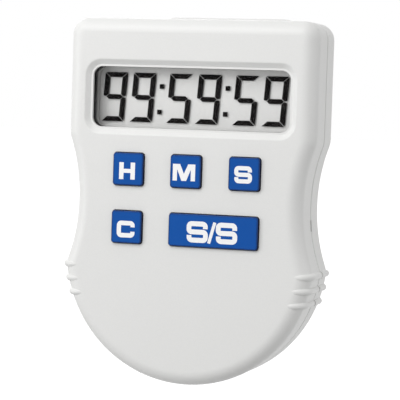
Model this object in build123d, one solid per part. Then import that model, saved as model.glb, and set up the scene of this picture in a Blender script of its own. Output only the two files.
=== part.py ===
from build123d import *
import os
from math import acos, atan2, cos, degrees, pi, radians, sin, sqrt

# Lab timer: a hand-held countdown timer with a six-digit display, five keys and a magnetic spring clip.
# Every size is in millimetres. Pieces are drawn with x to the right, y back from the face of the housing
# and z up from its lowest point. They are written out about the centre of the magnet face instead, where
# a steel board holds the timer.

# ---- Housing outline, seen from the front ----
HEIGHT = 97.0  # lowest point to the straight top edge
BOTTOM_R = 34.5  # round bottom, the widest place
SIDE_IN = 0.25  # how far the straight sides stand inside the round bottom's width
WAIST_IN = 3.3  # how far the narrowest place does
TOP_R = 4.5  # corners of the top edge
WAIST_R = 47.7  # hollow of each waist
WAIST_Z = 48.5  # height of the narrowest place
WAIST_BLEND = 5.0  # rounding where the waist meets the sides and the bottom

# ---- Housing walls ----
DEPTH = 19.5  # face to back
SEAM = 11.0  # face to the joint between the two shells
WALL = 2.0
FRONT_R = 3.8  # round-over of the front edge
BACK_R = 1.8  # round-over of the back edge
SEAM_GAP = 0.4  # shadow gap between the rims of the two shells
SEAM_CHAMFER = 0.35
TONGUE_H = 1.2  # tongue of the rear shell, which enters the front shell and bears on its groove
TONGUE_W = 0.8
TONGUE_GAP = 0.1
PRY_DOWN = 5.0  # notch in the seam for opening the housing, below the narrowest place
PRY_L = 3.0
PRY_W = 1.6
PRY_D = 0.7

# ---- Grip ribs on both sides ----
RIB_TOP_Z = 30.7
RIB_PITCH = 3.75
RIB_COUNT = 3
RIB_R = 0.95
RIB_SINK = 0.15  # how far a rib's axis lies under the surface
RIB_TIP = -10.0  # degrees round the front edge where the ribs begin
RIB_FADE = 0.7  # how far their axis has sunk there, so that they run out into the face
RIB_END = 19.0  # degrees round the back edge where they end

# ---- Display ----
WINDOW_MARGIN = 6.9  # side of the housing to the opening
WINDOW_H = 16.1
WINDOW_R = 2.5
WINDOW_DOWN = 21.0  # top edge to the opening's centre
BEVEL_W = 1.9  # sloped surround of the opening
BEVEL_D = 1.4
BEVEL_SOFT = 0.6  # rounding of the slope's outer edge
LIP = 0.4  # rim of the opening, in front of the pane
PANE_T = 1.0
PANE_OVER = 2.0  # how far the pane reaches under the rim
PANE_RIM = 1.6  # plastic round the pane
FRAME_FLANGE = 2.8  # black frame between the pane and the glass cell
FRAME_WALL = 1.3
CELL_OVER = 2.15  # how far the glass cell reaches past the opening
GLASS_T = 1.1  # each of the cell's two glasses
LEDGE = 2.2  # contact ledge at the cell's top and bottom
REFLECTOR_T = 0.25
STRIP_W = 1.7  # elastomer strips between the cell and the board
STRIP_H = 2.25

# ---- Circuit board ----
BOARD_T = 1.2
BOARD_TAIL = 5.2  # centre of the lower row of keys to the board's lower edge
BOARD_TOP_GAP = 1.0  # board to the housing's top wall
BOARD_GAP = 0.7  # board edge to the housing's side walls
BOARD_CROWN_GAP = 2.45  # board to the upper housing bosses, beside them

# ---- Keys ----
KEY_W = 8.5
KEY_H = 8.7
KEY_R = 0.8
KEY_EDGE = 0.3
KEY_MARGIN = 10.88  # narrowest place of the housing to the outer keys
KEYS_DOWN = 19.1  # centre of the display to the upper row
ROW_PITCH = 15.4
KEY_PROUD = 0.9
KEY_TRAVEL = 0.7
KEY_GAP = 0.18  # all round, in the face
KEY_WALL = 1.1
FLANGE_OUT = 0.9
FLANGE_T = 0.9
STEM_R = 2.2
STEM_IN = 1.5  # stems of the wide key, in from the places of two single keys
SEAT_GAP = 0.06  # between pieces that rest on each other but move apart

# ---- Silicone keymat ----
MAT_T = 0.8
MAT_MARGIN = 2.4
DOME_R = 4.1
DOME_WEB = 0.5
PLUNGER_R = 2.6
PLUNGER_T = 1.3
PILL_R = 1.8
PILL_T = 0.6
PILL_GAP = KEY_TRAVEL + 0.1

# ---- Parts on the back of the board ----
CHIP_R = 7.0  # drop of resin over the bonded chip
CHIP_H = 1.3
CHIP_DOWN = 10.0  # centre of the display to the chip
CRYSTAL_R = 1.0
CRYSTAL_L = 6.0
CRYSTAL_OUT = 14.0  # chip to the crystal
CAPACITOR_W = 1.2
CAPACITOR_H = 1.0
CAPACITOR_L = 2.0
CAPACITOR_UP = 7.0  # chip to the two capacitors over the crystal
CAPACITOR_PITCH = 3.0

# ---- Screws ----
HOUSING_SCREW_R = 1.1
HOUSING_HEAD_R = 2.1
HOUSING_HEAD_T = 1.5
HOUSING_SCREW_L = 10.0
HOUSING_SEAT = 14.6  # depth of the head's seat behind the face
HOUSING_LAND = 2.0  # plastic under the head
BOSS_R = 2.6
SLEEVE_R = 3.5
BOSS_INTO_WALL = 0.3  # how far the sleeves at the waist merge with the wall
BOSS_TOP_GAP = 0.2
BOSS_BOTTOM_GAP = 3.5
BOSS_BELOW_KEYS = 0.5  # lower row of keys to the screws at the waist
POST_INSET = 4.0  # end of the board's upper edge to its screws
UPPER_POST_GAP = 0.8  # display frame to the posts above and below it
LOWER_POST_GAP = 0.3
PILOT_SPARE = 0.5  # pilot hole deeper than the screw
BOARD_SCREW_R = 0.8
BOARD_HEAD_R = 1.5
BOARD_HEAD_T = 1.0
BOARD_SCREW_L = 5.0
POST_R = 1.9
HOLE_GAP = 0.2  # radial, round a shank, a head or a boss
THREAD_BITE = 0.15  # radial, pilot hole inside the thread

# ---- Battery, size AAA, lying across the bottom ----
CELL_R = 5.25
CELL_L = 44.5
NUB_R = 1.9
NUB_L = 1.0
BATTERY_Z = 25.0
BATTERY_GAP = 0.35
CONTACT_ROOM = 2.5
CONTACT_T = 0.4
CONTACT_W = 8.4
TAB_W = 3.0
TROUGH_WALL = 1.2
DIMPLE_R = 3.0  # root of the dimple that touches the nub
SPRING_WIRE = 0.35
SPRING_TURNS = 1.6
SPRING_BIG_R = 3.4
SPRING_SMALL_R = 2.2
LEAD_R = 0.45
BATTERY_LEAD_IN = 6.0  # how far inwards a battery lead runs to the board
BATTERY_LEAD_UP = 4.0  # lower edge of the board to the lead's end

# ---- Battery door, which slides off over the bottom ----
DOOR_HALF = 26.0
DOOR_TOP = 36.5
DOOR_T = 1.6
DOOR_GAP = 0.15
RAIL = 0.6
RAIL_PLAY = 0.1
RAIL_SKIN = 1.4  # housing outside the rails at their lower end
RAIL_MOUTH = 0.5  # lower end of the rails to the end of their grooves
GRIP_COUNT = 4
GRIP_L = 15.0
GRIP_W = 1.0
GRIP_PITCH = 2.2
GRIP_D = 0.5
GRIP_TOP_Z = 32.4
ARROW_HALF = 3.0  # sunken arrow under the finger grips
ARROW_L = 3.6

# ---- Buzzer ----
BUZZER_DOWN = 15.0  # top edge to the buzzer's centre
BUZZER_R = 10.0
CERAMIC_R = 7.0
BUZZER_T = 0.3
CERAMIC_T = 0.2
RING_W = 1.4
RING_T = 0.9
SOUND_HOLE_R = 0.6
SOUND_RING_R = 3.0
SOUND_HOLES = 6
BUZZER_LEAD_X = 8.4  # the disc's lead, from its centre
CERAMIC_LEAD_X = 5.0
BUZZER_LEAD_DROP = 13.0
BUZZER_LEAD_LEAN = 3.0

# ---- Spring clip ----
CLIP_DEPTH = 36.0  # face of the housing to the clip's outer face
CLIP_HALF = 18.9
CLIP_TAPER = 2.0  # how much narrower each side is at the jaw
CLIP_UP = 1.9  # finger tab above the top edge
CLIP_T = 2.4
CLIP_TAB_R = 3.0  # upper corners of the finger tab
BEND_DOWN = 14.0  # pin to where the lever turns in towards its jaw
BEND_R = 4.0
JAW_DOWN = 22.8  # pin to the upper end of the jaw
JAW_L = 5.0
JAW_T = 2.0
PAD_T = 1.0
PAD_GAP = 0.1
PAD_INSET = 0.6  # jaw beyond the pad, above and below
PIVOT_DOWN = 27.0  # top edge to the pin
PIN_R = 1.0
PIN_PLAY = 0.05
BARREL_R = 3.0
LUG_X = 14.8
LUG_T = 2.4
LUG_ROOT = 6.5  # half-height of a lug on the housing's back
CHEEK_X = 11.8
CHEEK_ROOT = 6.0
COIL_R = 1.75
COIL_WIRE = 0.42
COIL_TURNS = 4
COIL_PITCH = 1.5
COIL_STRETCHES = 5
LEG_RISE = 10.5  # pin to the ends of the two legs
MAGNET_R = 6.0
MAGNET_T = 1.5
MAGNET_SPREAD = 14.0  # between the two magnets
MAGNET_UP = 2.0  # pin to the middle of the two magnets

# ---- Places that follow from the sizes ----
SIDE = BOTTOM_R - SIDE_IN
WAIST_HALF = BOTTOM_R - WAIST_IN
PRY_Z = WAIST_Z - PRY_DOWN
WINDOW_W = 2 * (SIDE - WINDOW_MARGIN)
WINDOW_Z = HEIGHT - WINDOW_DOWN
UPPER_Z = WINDOW_Z - KEYS_DOWN
LOWER_Z = UPPER_Z - ROW_PITCH
KEY_PITCH = WAIST_HALF - KEY_MARGIN - KEY_W / 2
BOARD_LOW = LOWER_Z - BOARD_TAIL
BOARD_HIGH = HEIGHT - WALL - BOARD_TOP_GAP
BUZZER_Z = HEIGHT - BUZZER_DOWN
CLIP_TOP = HEIGHT + CLIP_UP
PIVOT_Z = HEIGHT - PIVOT_DOWN
PIVOT_Y = (DEPTH + CLIP_DEPTH - CLIP_T) / 2
CLIP_BEND = PIVOT_Z - BEND_DOWN
JAW_HIGH = PIVOT_Z - JAW_DOWN
JAW_LOW = JAW_HIGH - JAW_L
MAGNET_Z = PIVOT_Z + MAGNET_UP
PANE_FRONT = BEVEL_D + LIP
PANE_BACK = PANE_FRONT + PANE_T
FRAME_FRONT = PANE_BACK + SEAT_GAP
CELL_FRONT = FRAME_FRONT + FRAME_FLANGE
BOARD_FRONT = CELL_FRONT + GLASS_T + STRIP_H
BOARD_BACK = BOARD_FRONT + BOARD_T
PILL_BACK = BOARD_FRONT - PILL_GAP
PLUNGER_FRONT = PILL_BACK - PILL_T - PLUNGER_T
DOOR_FRONT = DEPTH - DOOR_T
BATTERY_Y = DOOR_FRONT - BATTERY_GAP - CELL_R
FLOOR_BACK = DOOR_FRONT - RAIL_PLAY  # floor of the door's recess
SLEEVE_FRONT = HOUSING_SEAT - HOUSING_LAND
FRAME_HALF_H = WINDOW_H / 2 + CELL_OVER + LEDGE / 2 + FRAME_WALL
WIDE_W = KEY_PITCH + KEY_W
WIDE_X = KEY_PITCH / 2
WIDE_STEPS = (STEM_IN - WIDE_X, WIDE_X - STEM_IN)
RAIL_LOW = BOTTOM_R - sqrt(BOTTOM_R**2 - (DOOR_HALF + RAIL + RAIL_SKIN) ** 2)
CHIP_Z = WINDOW_Z - CHIP_DOWN
SEAM_FRONT = SEAM - SEAM_GAP / 2  # rim of the front shell
SEAM_REAR = SEAM + SEAM_GAP / 2  # rim of the rear shell
TO_ROW = Location((0, -CLIP_DEPTH, -MAGNET_Z))

KEYS = {
    "hours": (-KEY_PITCH, UPPER_Z, KEY_W, (0.0,)),
    "minutes": (0.0, UPPER_Z, KEY_W, (0.0,)),
    "seconds": (KEY_PITCH, UPPER_Z, KEY_W, (0.0,)),
    "clear": (-KEY_PITCH, LOWER_Z, KEY_W, (0.0,)),
    "start_stop": (WIDE_X, LOWER_Z, WIDE_W, WIDE_STEPS),
}
CORNER = SIDE - WALL - SLEEVE_R - BOARD_GAP
BOARD_CROWN = CORNER - BOSS_R - BOARD_CROWN_GAP
WAIST_BOSS = WAIST_HALF - WALL - SLEEVE_R + BOSS_INTO_WALL
HOUSING_SCREWS = [
    (-CORNER, HEIGHT - WALL - SLEEVE_R - BOSS_TOP_GAP),
    (CORNER, HEIGHT - WALL - SLEEVE_R - BOSS_TOP_GAP),
    (-WAIST_BOSS, LOWER_Z - BOSS_BELOW_KEYS),
    (WAIST_BOSS, LOWER_Z - BOSS_BELOW_KEYS),
    (0.0, WALL + SLEEVE_R + BOSS_BOTTOM_GAP),
]
UPPER_POST = BOARD_CROWN - POST_INSET
LOWER_POST = WINDOW_W / 2 - POST_R
BOARD_SCREWS = [
    (-UPPER_POST, WINDOW_Z + FRAME_HALF_H + POST_R + UPPER_POST_GAP),
    (UPPER_POST, WINDOW_Z + FRAME_HALF_H + POST_R + UPPER_POST_GAP),
    (-LOWER_POST, WINDOW_Z - FRAME_HALF_H - POST_R - LOWER_POST_GAP),
    (LOWER_POST, WINDOW_Z - FRAME_HALF_H - POST_R - LOWER_POST_GAP),
    (-KEY_PITCH / 2, (UPPER_Z + LOWER_Z) / 2),
    (KEY_PITCH / 2, (UPPER_Z + LOWER_Z) / 2),
]


# ---------------------------------------------------------------- helpers
def slab(sketch, front, back):
    """An outline seen from the front, made solid from one depth behind the face to another."""
    return Pos(0, back, 0) * extrude(Plane.XZ * sketch, back - front, dir=(0, -1, 0))


def block(x, y, z):
    """A box between two values on each axis."""
    size = [high - low for low, high in (x, y, z)]
    middle = [(high + low) / 2 for low, high in (x, y, z)]
    return Pos(*middle) * Box(*size)


def disc(x, z, radius, front, back):
    return slab(Pos(x, z) * Circle(radius), front, back)


def window_rect(grow, radius):
    """The display opening's rectangle, larger by grow on every side."""
    return Pos(0, WINDOW_Z) * RectangleRounded(WINDOW_W + 2 * grow, WINDOW_H + 2 * grow, radius)


def across(sketch, low, high):
    """A side view, drawn as (y, z), made solid from one x to another."""
    return Pos(low, 0, 0) * extrude(Plane.YZ * sketch, high - low, dir=(1, 0, 0))


def housing_outline():
    upper = Pos(0, (HEIGHT + BOTTOM_R) / 2) * Rectangle(2 * SIDE, HEIGHT - BOTTOM_R)
    blank = Pos(0, BOTTOM_R) * Circle(BOTTOM_R) + upper
    hollow = Pos(WAIST_HALF + WAIST_R, WAIST_Z) * Circle(WAIST_R)
    blank -= hollow
    blank -= mirror(hollow, Plane.YZ)
    corners = blank.vertices().sort_by(Axis.Y)
    blank = fillet(corners[-2:], TOP_R)
    corners = [v for v in blank.vertices() if v.Y < HEIGHT - 2 * TOP_R]
    return fillet(corners, WAIST_BLEND)


OUTLINE = housing_outline()
INNER = offset(OUTLINE, -WALL)


def bottom_half_width(z):
    """Half-width of the round bottom at a height."""
    return sqrt(BOTTOM_R**2 - (BOTTOM_R - z) ** 2)


def rib_bend(half, z, radius, face, inward, tip, fade):
    """Stations of a rib's axis round one rounded edge of the housing, from its tip to the side."""
    bend = radius - RIB_SINK - fade
    stations = []
    for turn in (tip, (tip + 90) / 2, 90):
        x = half - RIB_SINK - bend * (1 - sin(radians(turn)))
        y = face + inward * (radius - bend * cos(radians(turn)))
        stations.append((x, y, z))
    return stations


def grip_ribs(front, back):
    """The stretch of the six grip ribs between two depths."""
    ribs = []
    for step in range(RIB_COUNT):
        z = RIB_TOP_Z - step * RIB_PITCH
        half = bottom_half_width(z)
        first = ThreePointArc(*rib_bend(half, z, FRONT_R, 0, 1, RIB_TIP, RIB_FADE))
        last = ThreePointArc(*reversed(rib_bend(half, z, BACK_R, DEPTH, -1, RIB_END, 0)))
        path = Wire([first, Line(first @ 1, last @ 0), last])
        rib = sweep(Plane(first @ 0, z_dir=first % 0) * Circle(RIB_R), path)
        rib += [Pos(*(first @ 0)) * Sphere(RIB_R), Pos(*(last @ 1)) * Sphere(RIB_R)]
        rib &= block((0, SIDE * 2), (front, back), (0, HEIGHT))
        ribs += [rib, mirror(rib, Plane.YZ)]
    return ribs


# ---------------------------------------------------------------- front shell
def front_shell():
    skin = slab(OUTLINE, 0, SEAM_FRONT)
    skin = fillet(skin.faces().sort_by(Axis.Y)[0].edges(), FRONT_R)
    skin = chamfer(skin.faces().sort_by(Axis.Y)[-1].edges(), SEAM_CHAMFER)
    skin = sink_window(skin)
    cavity = slab(INNER, WALL, SEAM + 1)
    cavity = fillet(cavity.faces().sort_by(Axis.Y)[0].edges(), FRONT_R - WALL)
    groove = slab(offset(OUTLINE, -(WALL - TONGUE_W - TONGUE_GAP)), SEAM - TONGUE_H, SEAM + 1)
    shell = skin + grip_ribs(-RIB_R, SEAM_FRONT - SEAM_CHAMFER) - cavity - groove
    shell += window_surround()
    for x, z in HOUSING_SCREWS:
        shell += disc(x, z, BOSS_R, WALL / 2, SLEEVE_FRONT - SEAT_GAP)
    for x, z in BOARD_SCREWS:
        shell += disc(x, z, POST_R, WALL / 2, BOARD_FRONT)
    for x, z in HOUSING_SCREWS:
        end = HOUSING_SEAT - HOUSING_SCREW_L - PILOT_SPARE
        shell -= disc(x, z, HOUSING_SCREW_R - THREAD_BITE, end, SEAM + DEPTH)
    for x, z in BOARD_SCREWS:
        end = BOARD_BACK - BOARD_SCREW_L - PILOT_SPARE
        shell -= disc(x, z, BOARD_SCREW_R - THREAD_BITE, end, SEAM)
    shell -= window_opening()
    for x, z, width, _ in KEYS.values():
        hole = RectangleRounded(width + 2 * KEY_GAP, KEY_H + 2 * KEY_GAP, KEY_R + KEY_GAP)
        shell -= slab(Pos(x, z) * hole, -1, WALL + 1)
    return shell - pry_notch()


def sink_window(skin):
    """Sloped surround of the display opening, its outer edge rounded."""
    mouth = window_rect(BEVEL_W, WINDOW_R + BEVEL_W)
    floor = window_rect(0, WINDOW_R)
    skin -= loft([Plane.XZ * mouth, Pos(0, BEVEL_D, 0) * (Plane.XZ * floor)])
    rim = skin.faces().sort_by(Axis.Y)[0].inner_wires()[0].edges()
    return fillet(rim, BEVEL_SOFT)


def window_surround():
    """Thickened rim behind the face that carries the pane."""
    return slab(window_rect(PANE_OVER + PANE_RIM, WINDOW_R + PANE_RIM), WALL / 2, PANE_BACK)


def window_opening():
    """Opening and the pane's seat, as one cutter."""
    seat = window_rect(PANE_OVER + TONGUE_GAP, WINDOW_R)
    return slab(window_rect(0, WINDOW_R), 0, PANE_BACK) + slab(seat, PANE_FRONT, PANE_BACK + 1)


def pry_notch():
    surface = WAIST_HALF + PRY_DOWN**2 / (2 * WAIST_R)
    return block(
        (surface - PRY_D, SIDE + 1),
        (SEAM - PRY_W / 2, SEAM + PRY_W / 2),
        (PRY_Z - PRY_L / 2, PRY_Z + PRY_L / 2),
    )


# ---------------------------------------------------------------- rear shell
def rear_shell():
    skin = slab(OUTLINE, SEAM_REAR, DEPTH)
    skin = fillet(skin.faces().sort_by(Axis.Y)[-1].edges(), BACK_R)
    skin = chamfer(skin.faces().sort_by(Axis.Y)[0].edges(), SEAM_CHAMFER)
    shell = skin + grip_ribs(SEAM_REAR + SEAM_CHAMFER, DEPTH + RIB_R)
    shell -= slab(INNER, SEAM - 1, DEPTH - WALL)
    tongue = slab(offset(OUTLINE, -(WALL - TONGUE_W)), SEAM - TONGUE_H, SEAM + WALL)
    shell += tongue - slab(INNER, SEAM - 2 * TONGUE_H, SEAM + 2 * WALL)
    shell += battery_trough()
    for x, z in HOUSING_SCREWS:
        shell += disc(x, z, SLEEVE_R, SLEEVE_FRONT, DEPTH - WALL)
    for x, z in HOUSING_SCREWS:
        shell -= disc(x, z, HOUSING_SCREW_R + HOLE_GAP, SLEEVE_FRONT - 1, DEPTH)
        shell -= disc(x, z, HOUSING_HEAD_R + 2 * HOLE_GAP, HOUSING_SEAT, DEPTH + 1)
    shell -= door_recess()
    shell += clip_lugs()
    shell -= sound_holes()
    return shell - pry_notch()


def trough_size():
    """Half-length and half-height of the battery's room."""
    return CELL_L / 2 + CONTACT_ROOM, CELL_R + BATTERY_GAP


def battery_trough():
    """Box that holds the battery, with the thick floor on which the door slides."""
    length, height = trough_size()
    reach = DOOR_HALF + DOOR_GAP + RAIL + RAIL_PLAY + TROUGH_WALL
    floor = block((-reach, reach), (FLOOR_BACK - WALL, DEPTH - WALL / 2), (0, DOOR_TOP + DOOR_GAP + WALL))
    floor &= slab(offset(OUTLINE, -WALL / 2), 0, DEPTH)
    front = BATTERY_Y - CELL_R - BATTERY_GAP
    box = block(
        (-length - TROUGH_WALL, length + TROUGH_WALL),
        (front - TROUGH_WALL, FLOOR_BACK - WALL / 2),
        (BATTERY_Z - height - TROUGH_WALL, BATTERY_Z + height + TROUGH_WALL),
    )
    room = block((-length, length), (front, DEPTH + 1), (BATTERY_Z - height, BATTERY_Z + height))
    trough = floor + box - room
    for side in (-1, 1):
        x = side * (length - CONTACT_T / 2)
        trough -= block(
            (x - CONTACT_T, x + CONTACT_T),
            (BATTERY_Y - TAB_W, BATTERY_Y),
            (BATTERY_Z, BATTERY_Z + height + 2 * TROUGH_WALL),
        )
    return trough


def door_recess():
    """Room for the door: a step in the back, open at the bottom, with a groove in each side."""
    half = DOOR_HALF + DOOR_GAP
    low = -RIB_PITCH
    recess = block((-half, half), (FLOOR_BACK, DEPTH + 2), (low, DOOR_TOP + DOOR_GAP))
    middle = (DOOR_FRONT + DEPTH) / 2
    groove = RAIL / 2 + RAIL_PLAY
    sides = (-half - RAIL, half + RAIL)
    recess += block(sides, (middle - groove, middle + groove), (low, DOOR_TOP + DOOR_GAP))
    recess += block(sides, (middle - groove, DEPTH + 2), (low, RAIL_LOW - RAIL_MOUTH))
    length, height = trough_size()
    recess += block((-length, length), (DEPTH / 2, DEPTH), (BATTERY_Z - height, BATTERY_Z + height))
    return recess


def clip_lugs():
    """Two ears on the back that hold the ends of the clip's pin."""
    head = Pos(PIVOT_Y, PIVOT_Z) * Circle(BARREL_R)
    root = Polygon(
        (DEPTH - WALL / 2, PIVOT_Z - LUG_ROOT),
        (DEPTH, PIVOT_Z - LUG_ROOT),
        (PIVOT_Y, PIVOT_Z - BARREL_R),
        (PIVOT_Y, PIVOT_Z + BARREL_R),
        (DEPTH, PIVOT_Z + LUG_ROOT),
        (DEPTH - WALL / 2, PIVOT_Z + LUG_ROOT),
        align=None,
    )
    ear = head + root - Pos(PIVOT_Y, PIVOT_Z) * Circle(PIN_R)
    return [across(ear, x - LUG_T / 2, x + LUG_T / 2) for x in (-LUG_X, LUG_X)]


def sound_holes():
    spots = [Pos(0, BUZZER_Z) * spot for spot in PolarLocations(SOUND_RING_R, SOUND_HOLES)]
    spots.append(Pos(0, BUZZER_Z))
    return [slab(spot * Circle(SOUND_HOLE_R), DEPTH - 2 * WALL, DEPTH + 1) for spot in spots]


# ---------------------------------------------------------------- battery and its door
def battery_door():
    shape = slab(OUTLINE, SEAM, DEPTH)
    shape = fillet(shape.faces().sort_by(Axis.Y)[-1].edges(), BACK_R)
    door = shape & block((-DOOR_HALF, DOOR_HALF), (DOOR_FRONT, DEPTH), (0, DOOR_TOP))
    middle = (DOOR_FRONT + DEPTH) / 2
    for side in (-1, 1):
        rail = sorted((side * (DOOR_HALF - WALL), side * (DOOR_HALF + RAIL)))
        door += block(rail, (middle - RAIL / 2, middle + RAIL / 2), (RAIL_LOW, DOOR_TOP - RAIL))
    for step in range(GRIP_COUNT):
        z = GRIP_TOP_Z - step * GRIP_PITCH
        door -= slab(Pos(0, z) * SlotOverall(GRIP_L, GRIP_W), DEPTH - GRIP_D, DEPTH + 1)
    top = GRIP_TOP_Z - GRIP_COUNT * GRIP_PITCH
    arrow = Polygon((-ARROW_HALF, top), (ARROW_HALF, top), (0, top - ARROW_L), align=None)
    return door - slab(arrow, DEPTH - GRIP_D, DEPTH + 1)


def battery():
    """A size AAA cell along x, its nub to the right."""
    can = Pos(-NUB_L / 2, 0, 0) * Rot(0, 90, 0) * Cylinder(CELL_R, CELL_L - NUB_L)
    can = fillet(can.edges(), 0.5)
    nub = Pos(CELL_L / 2 - NUB_L, 0, 0) * Rot(0, 90, 0) * Cylinder(NUB_R, 2 * NUB_L)
    return Pos(0, BATTERY_Y, BATTERY_Z) * (can + nub)


def contact_plate(side):
    """Plate at one end of the trough, with the tab that its lead is soldered to."""
    length, height = trough_size()
    x = sorted((side * (length - CONTACT_T), side * (length - SEAT_GAP)))
    half = CONTACT_W / 2
    plate = block(x, (BATTERY_Y - half, BATTERY_Y + half), (BATTERY_Z - half, BATTERY_Z + half))
    tab = (BATTERY_Y - TAB_W + SEAT_GAP, BATTERY_Y - SEAT_GAP)
    return plate + block(x, tab, (BATTERY_Z, BATTERY_Z + height + 2 * TROUGH_WALL + 1.5))


def battery_contact_positive():
    """Plate with a pressed dimple that touches the nub."""
    length, _ = trough_size()
    reach = CONTACT_ROOM - CONTACT_T - SEAT_GAP
    dimple = Rot(0, -90, 0) * Cone(DIMPLE_R, NUB_R, reach)
    return contact_plate(1) + Pos(length - CONTACT_T - reach / 2, BATTERY_Y, BATTERY_Z) * dimple


def battery_contact_negative():
    """Plate with a conical spring that presses on the flat end."""
    length, _ = trough_size()
    reach = CONTACT_ROOM - CONTACT_T - SEAT_GAP - SPRING_WIRE
    lean = degrees(atan2(SPRING_BIG_R - SPRING_SMALL_R, reach))
    foot = (CONTACT_T - length, BATTERY_Y, BATTERY_Z)
    base = Plane(origin=foot, x_dir=(0, 1, 0), z_dir=(1, 0, 0))
    coil = base * Helix(reach / SPRING_TURNS, reach, SPRING_BIG_R, cone_angle=-lean)
    wire = sweep(Plane(coil @ 0, z_dir=coil % 0) * Circle(SPRING_WIRE), coil)
    return contact_plate(-1) + wire


def lead(*points):
    """An insulated wire with rounded bends."""
    radii = [
        0.45 * min((Vector(b) - Vector(a)).length, (Vector(c) - Vector(b)).length)
        for a, b, c in zip(points, points[1:], points[2:])
    ]
    path = FilletPolyline(*points, radius=min(radii))
    return sweep(Plane(path @ 0, z_dir=path % 0) * Circle(LEAD_R), path)


def battery_lead(side):
    """From a contact's tab to the lower edge of the board."""
    length, height = trough_size()
    tab = BATTERY_Z + height + 2 * TROUGH_WALL
    x = side * (length - CONTACT_T - LEAD_R - SEAT_GAP)
    y = BATTERY_Y - TAB_W / 2
    board = BOARD_BACK + LEAD_R + SEAT_GAP
    inwards = side * BATTERY_LEAD_IN
    return lead(
        (x, y, tab + LEAD_R),
        (x - inwards / 2, y, tab + 3 * LEAD_R),
        (x - 5 * inwards / 6, (y + board) / 2 + 2 * LEAD_R, BOARD_LOW + LEAD_R),
        (x - inwards, board, BOARD_LOW + BATTERY_LEAD_UP),
    )


# ---------------------------------------------------------------- display
def display_window():
    pane = slab(window_rect(PANE_OVER, WINDOW_R - TONGUE_GAP), PANE_FRONT, PANE_BACK)
    return chamfer(pane.faces().sort_by(Axis.Y)[-1].edges(), 0.15)


def glass_rect(height):
    return Pos(0, WINDOW_Z) * Rectangle(WINDOW_W + 2 * CELL_OVER, height)


def cell_height():
    """Height of the front glass, with its two contact ledges."""
    return WINDOW_H + 2 * CELL_OVER + LEDGE


def lcd_frame():
    """Black frame that keeps the glass cell behind the pane."""
    back = BOARD_FRONT - SEAT_GAP
    outer = RectangleRounded(WINDOW_W + 2 * (CELL_OVER + FRAME_WALL), 2 * FRAME_HALF_H, 1.2)
    frame = slab(Pos(0, WINDOW_Z) * outer, FRAME_FRONT, back)
    frame -= slab(window_rect(0, WINDOW_R), FRAME_FRONT - 1, CELL_FRONT + 1)
    room = Rectangle(WINDOW_W + 2 * (CELL_OVER + TONGUE_GAP), cell_height() + 2 * TONGUE_GAP)
    return frame - slab(Pos(0, WINDOW_Z) * room, CELL_FRONT, back + 1)


def lcd_panel():
    """Glass cell: a tall front glass and a shorter rear glass that leaves the two contact ledges free."""
    front = slab(glass_rect(cell_height()), CELL_FRONT + SEAT_GAP, CELL_FRONT + GLASS_T)
    rear = slab(glass_rect(cell_height() - 2 * LEDGE), CELL_FRONT + GLASS_T, CELL_FRONT + 2 * GLASS_T)
    return front + rear


def lcd_reflector():
    """Reflecting film on the back of the cell."""
    sheet = glass_rect(cell_height() - 2 * LEDGE - 0.4)
    front = CELL_FRONT + 2 * GLASS_T
    return slab(sheet, front, front + REFLECTOR_T)


def zebra_strip(side):
    """Striped elastomer that joins the cell's ledge to the board."""
    z = WINDOW_Z + side * (cell_height() - LEDGE) / 2
    strip = Rectangle(WINDOW_W + 2 * CELL_OVER - 2, STRIP_W)
    return slab(Pos(0, z) * strip, CELL_FRONT + GLASS_T, BOARD_FRONT)


# ---------------------------------------------------------------- circuit board
def circuit_board():
    lower_half = WAIST_HALF - WALL - BOARD_GAP
    upper_half = WINDOW_W / 2 + CELL_OVER + FRAME_WALL
    shoulder = WINDOW_Z + FRAME_HALF_H
    waist = WINDOW_Z - FRAME_HALF_H
    right = [
        (lower_half, BOARD_LOW),
        (lower_half, waist),
        (upper_half, waist),
        (upper_half, shoulder),
        (BOARD_CROWN, shoulder),
        (BOARD_CROWN, BOARD_HIGH),
    ]
    left = [(-x, z) for x, z in reversed(right)]
    board = slab(make_face(Polyline(*right, *left, close=True)), BOARD_FRONT, BOARD_BACK)
    for x, z in HOUSING_SCREWS:
        board -= disc(x, z, BOSS_R + 2 * HOLE_GAP, 0, DEPTH)
    for x, z in BOARD_SCREWS:
        board -= disc(x, z, BOARD_SCREW_R + HOLE_GAP, 0, DEPTH)
    return board


def controller_chip():
    """Drop of black resin over the bonded chip."""
    sphere_r = (CHIP_R**2 + CHIP_H**2) / (2 * CHIP_H)
    drop = Pos(0, BOARD_BACK + CHIP_H - sphere_r, CHIP_Z) * Sphere(sphere_r)
    return drop & block((-2 * CHIP_R, 2 * CHIP_R), (BOARD_BACK, DEPTH), (0, HEIGHT))


def quartz_crystal():
    can = Pos(CRYSTAL_OUT, BOARD_BACK + CRYSTAL_R + SEAT_GAP, CHIP_Z) * Cylinder(CRYSTAL_R, CRYSTAL_L)
    return fillet(can.edges(), CRYSTAL_R / 5)


def capacitors():
    places = [
        (CRYSTAL_OUT - CAPACITOR_PITCH, CHIP_Z + CAPACITOR_UP),
        (CRYSTAL_OUT, CHIP_Z + CAPACITOR_UP),
        (CAPACITOR_PITCH - CRYSTAL_OUT, CHIP_Z),
    ]
    outline = Rectangle(CAPACITOR_W, CAPACITOR_L)
    return [slab(Pos(x, z) * outline, BOARD_BACK, BOARD_BACK + CAPACITOR_H) for x, z in places]


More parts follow.
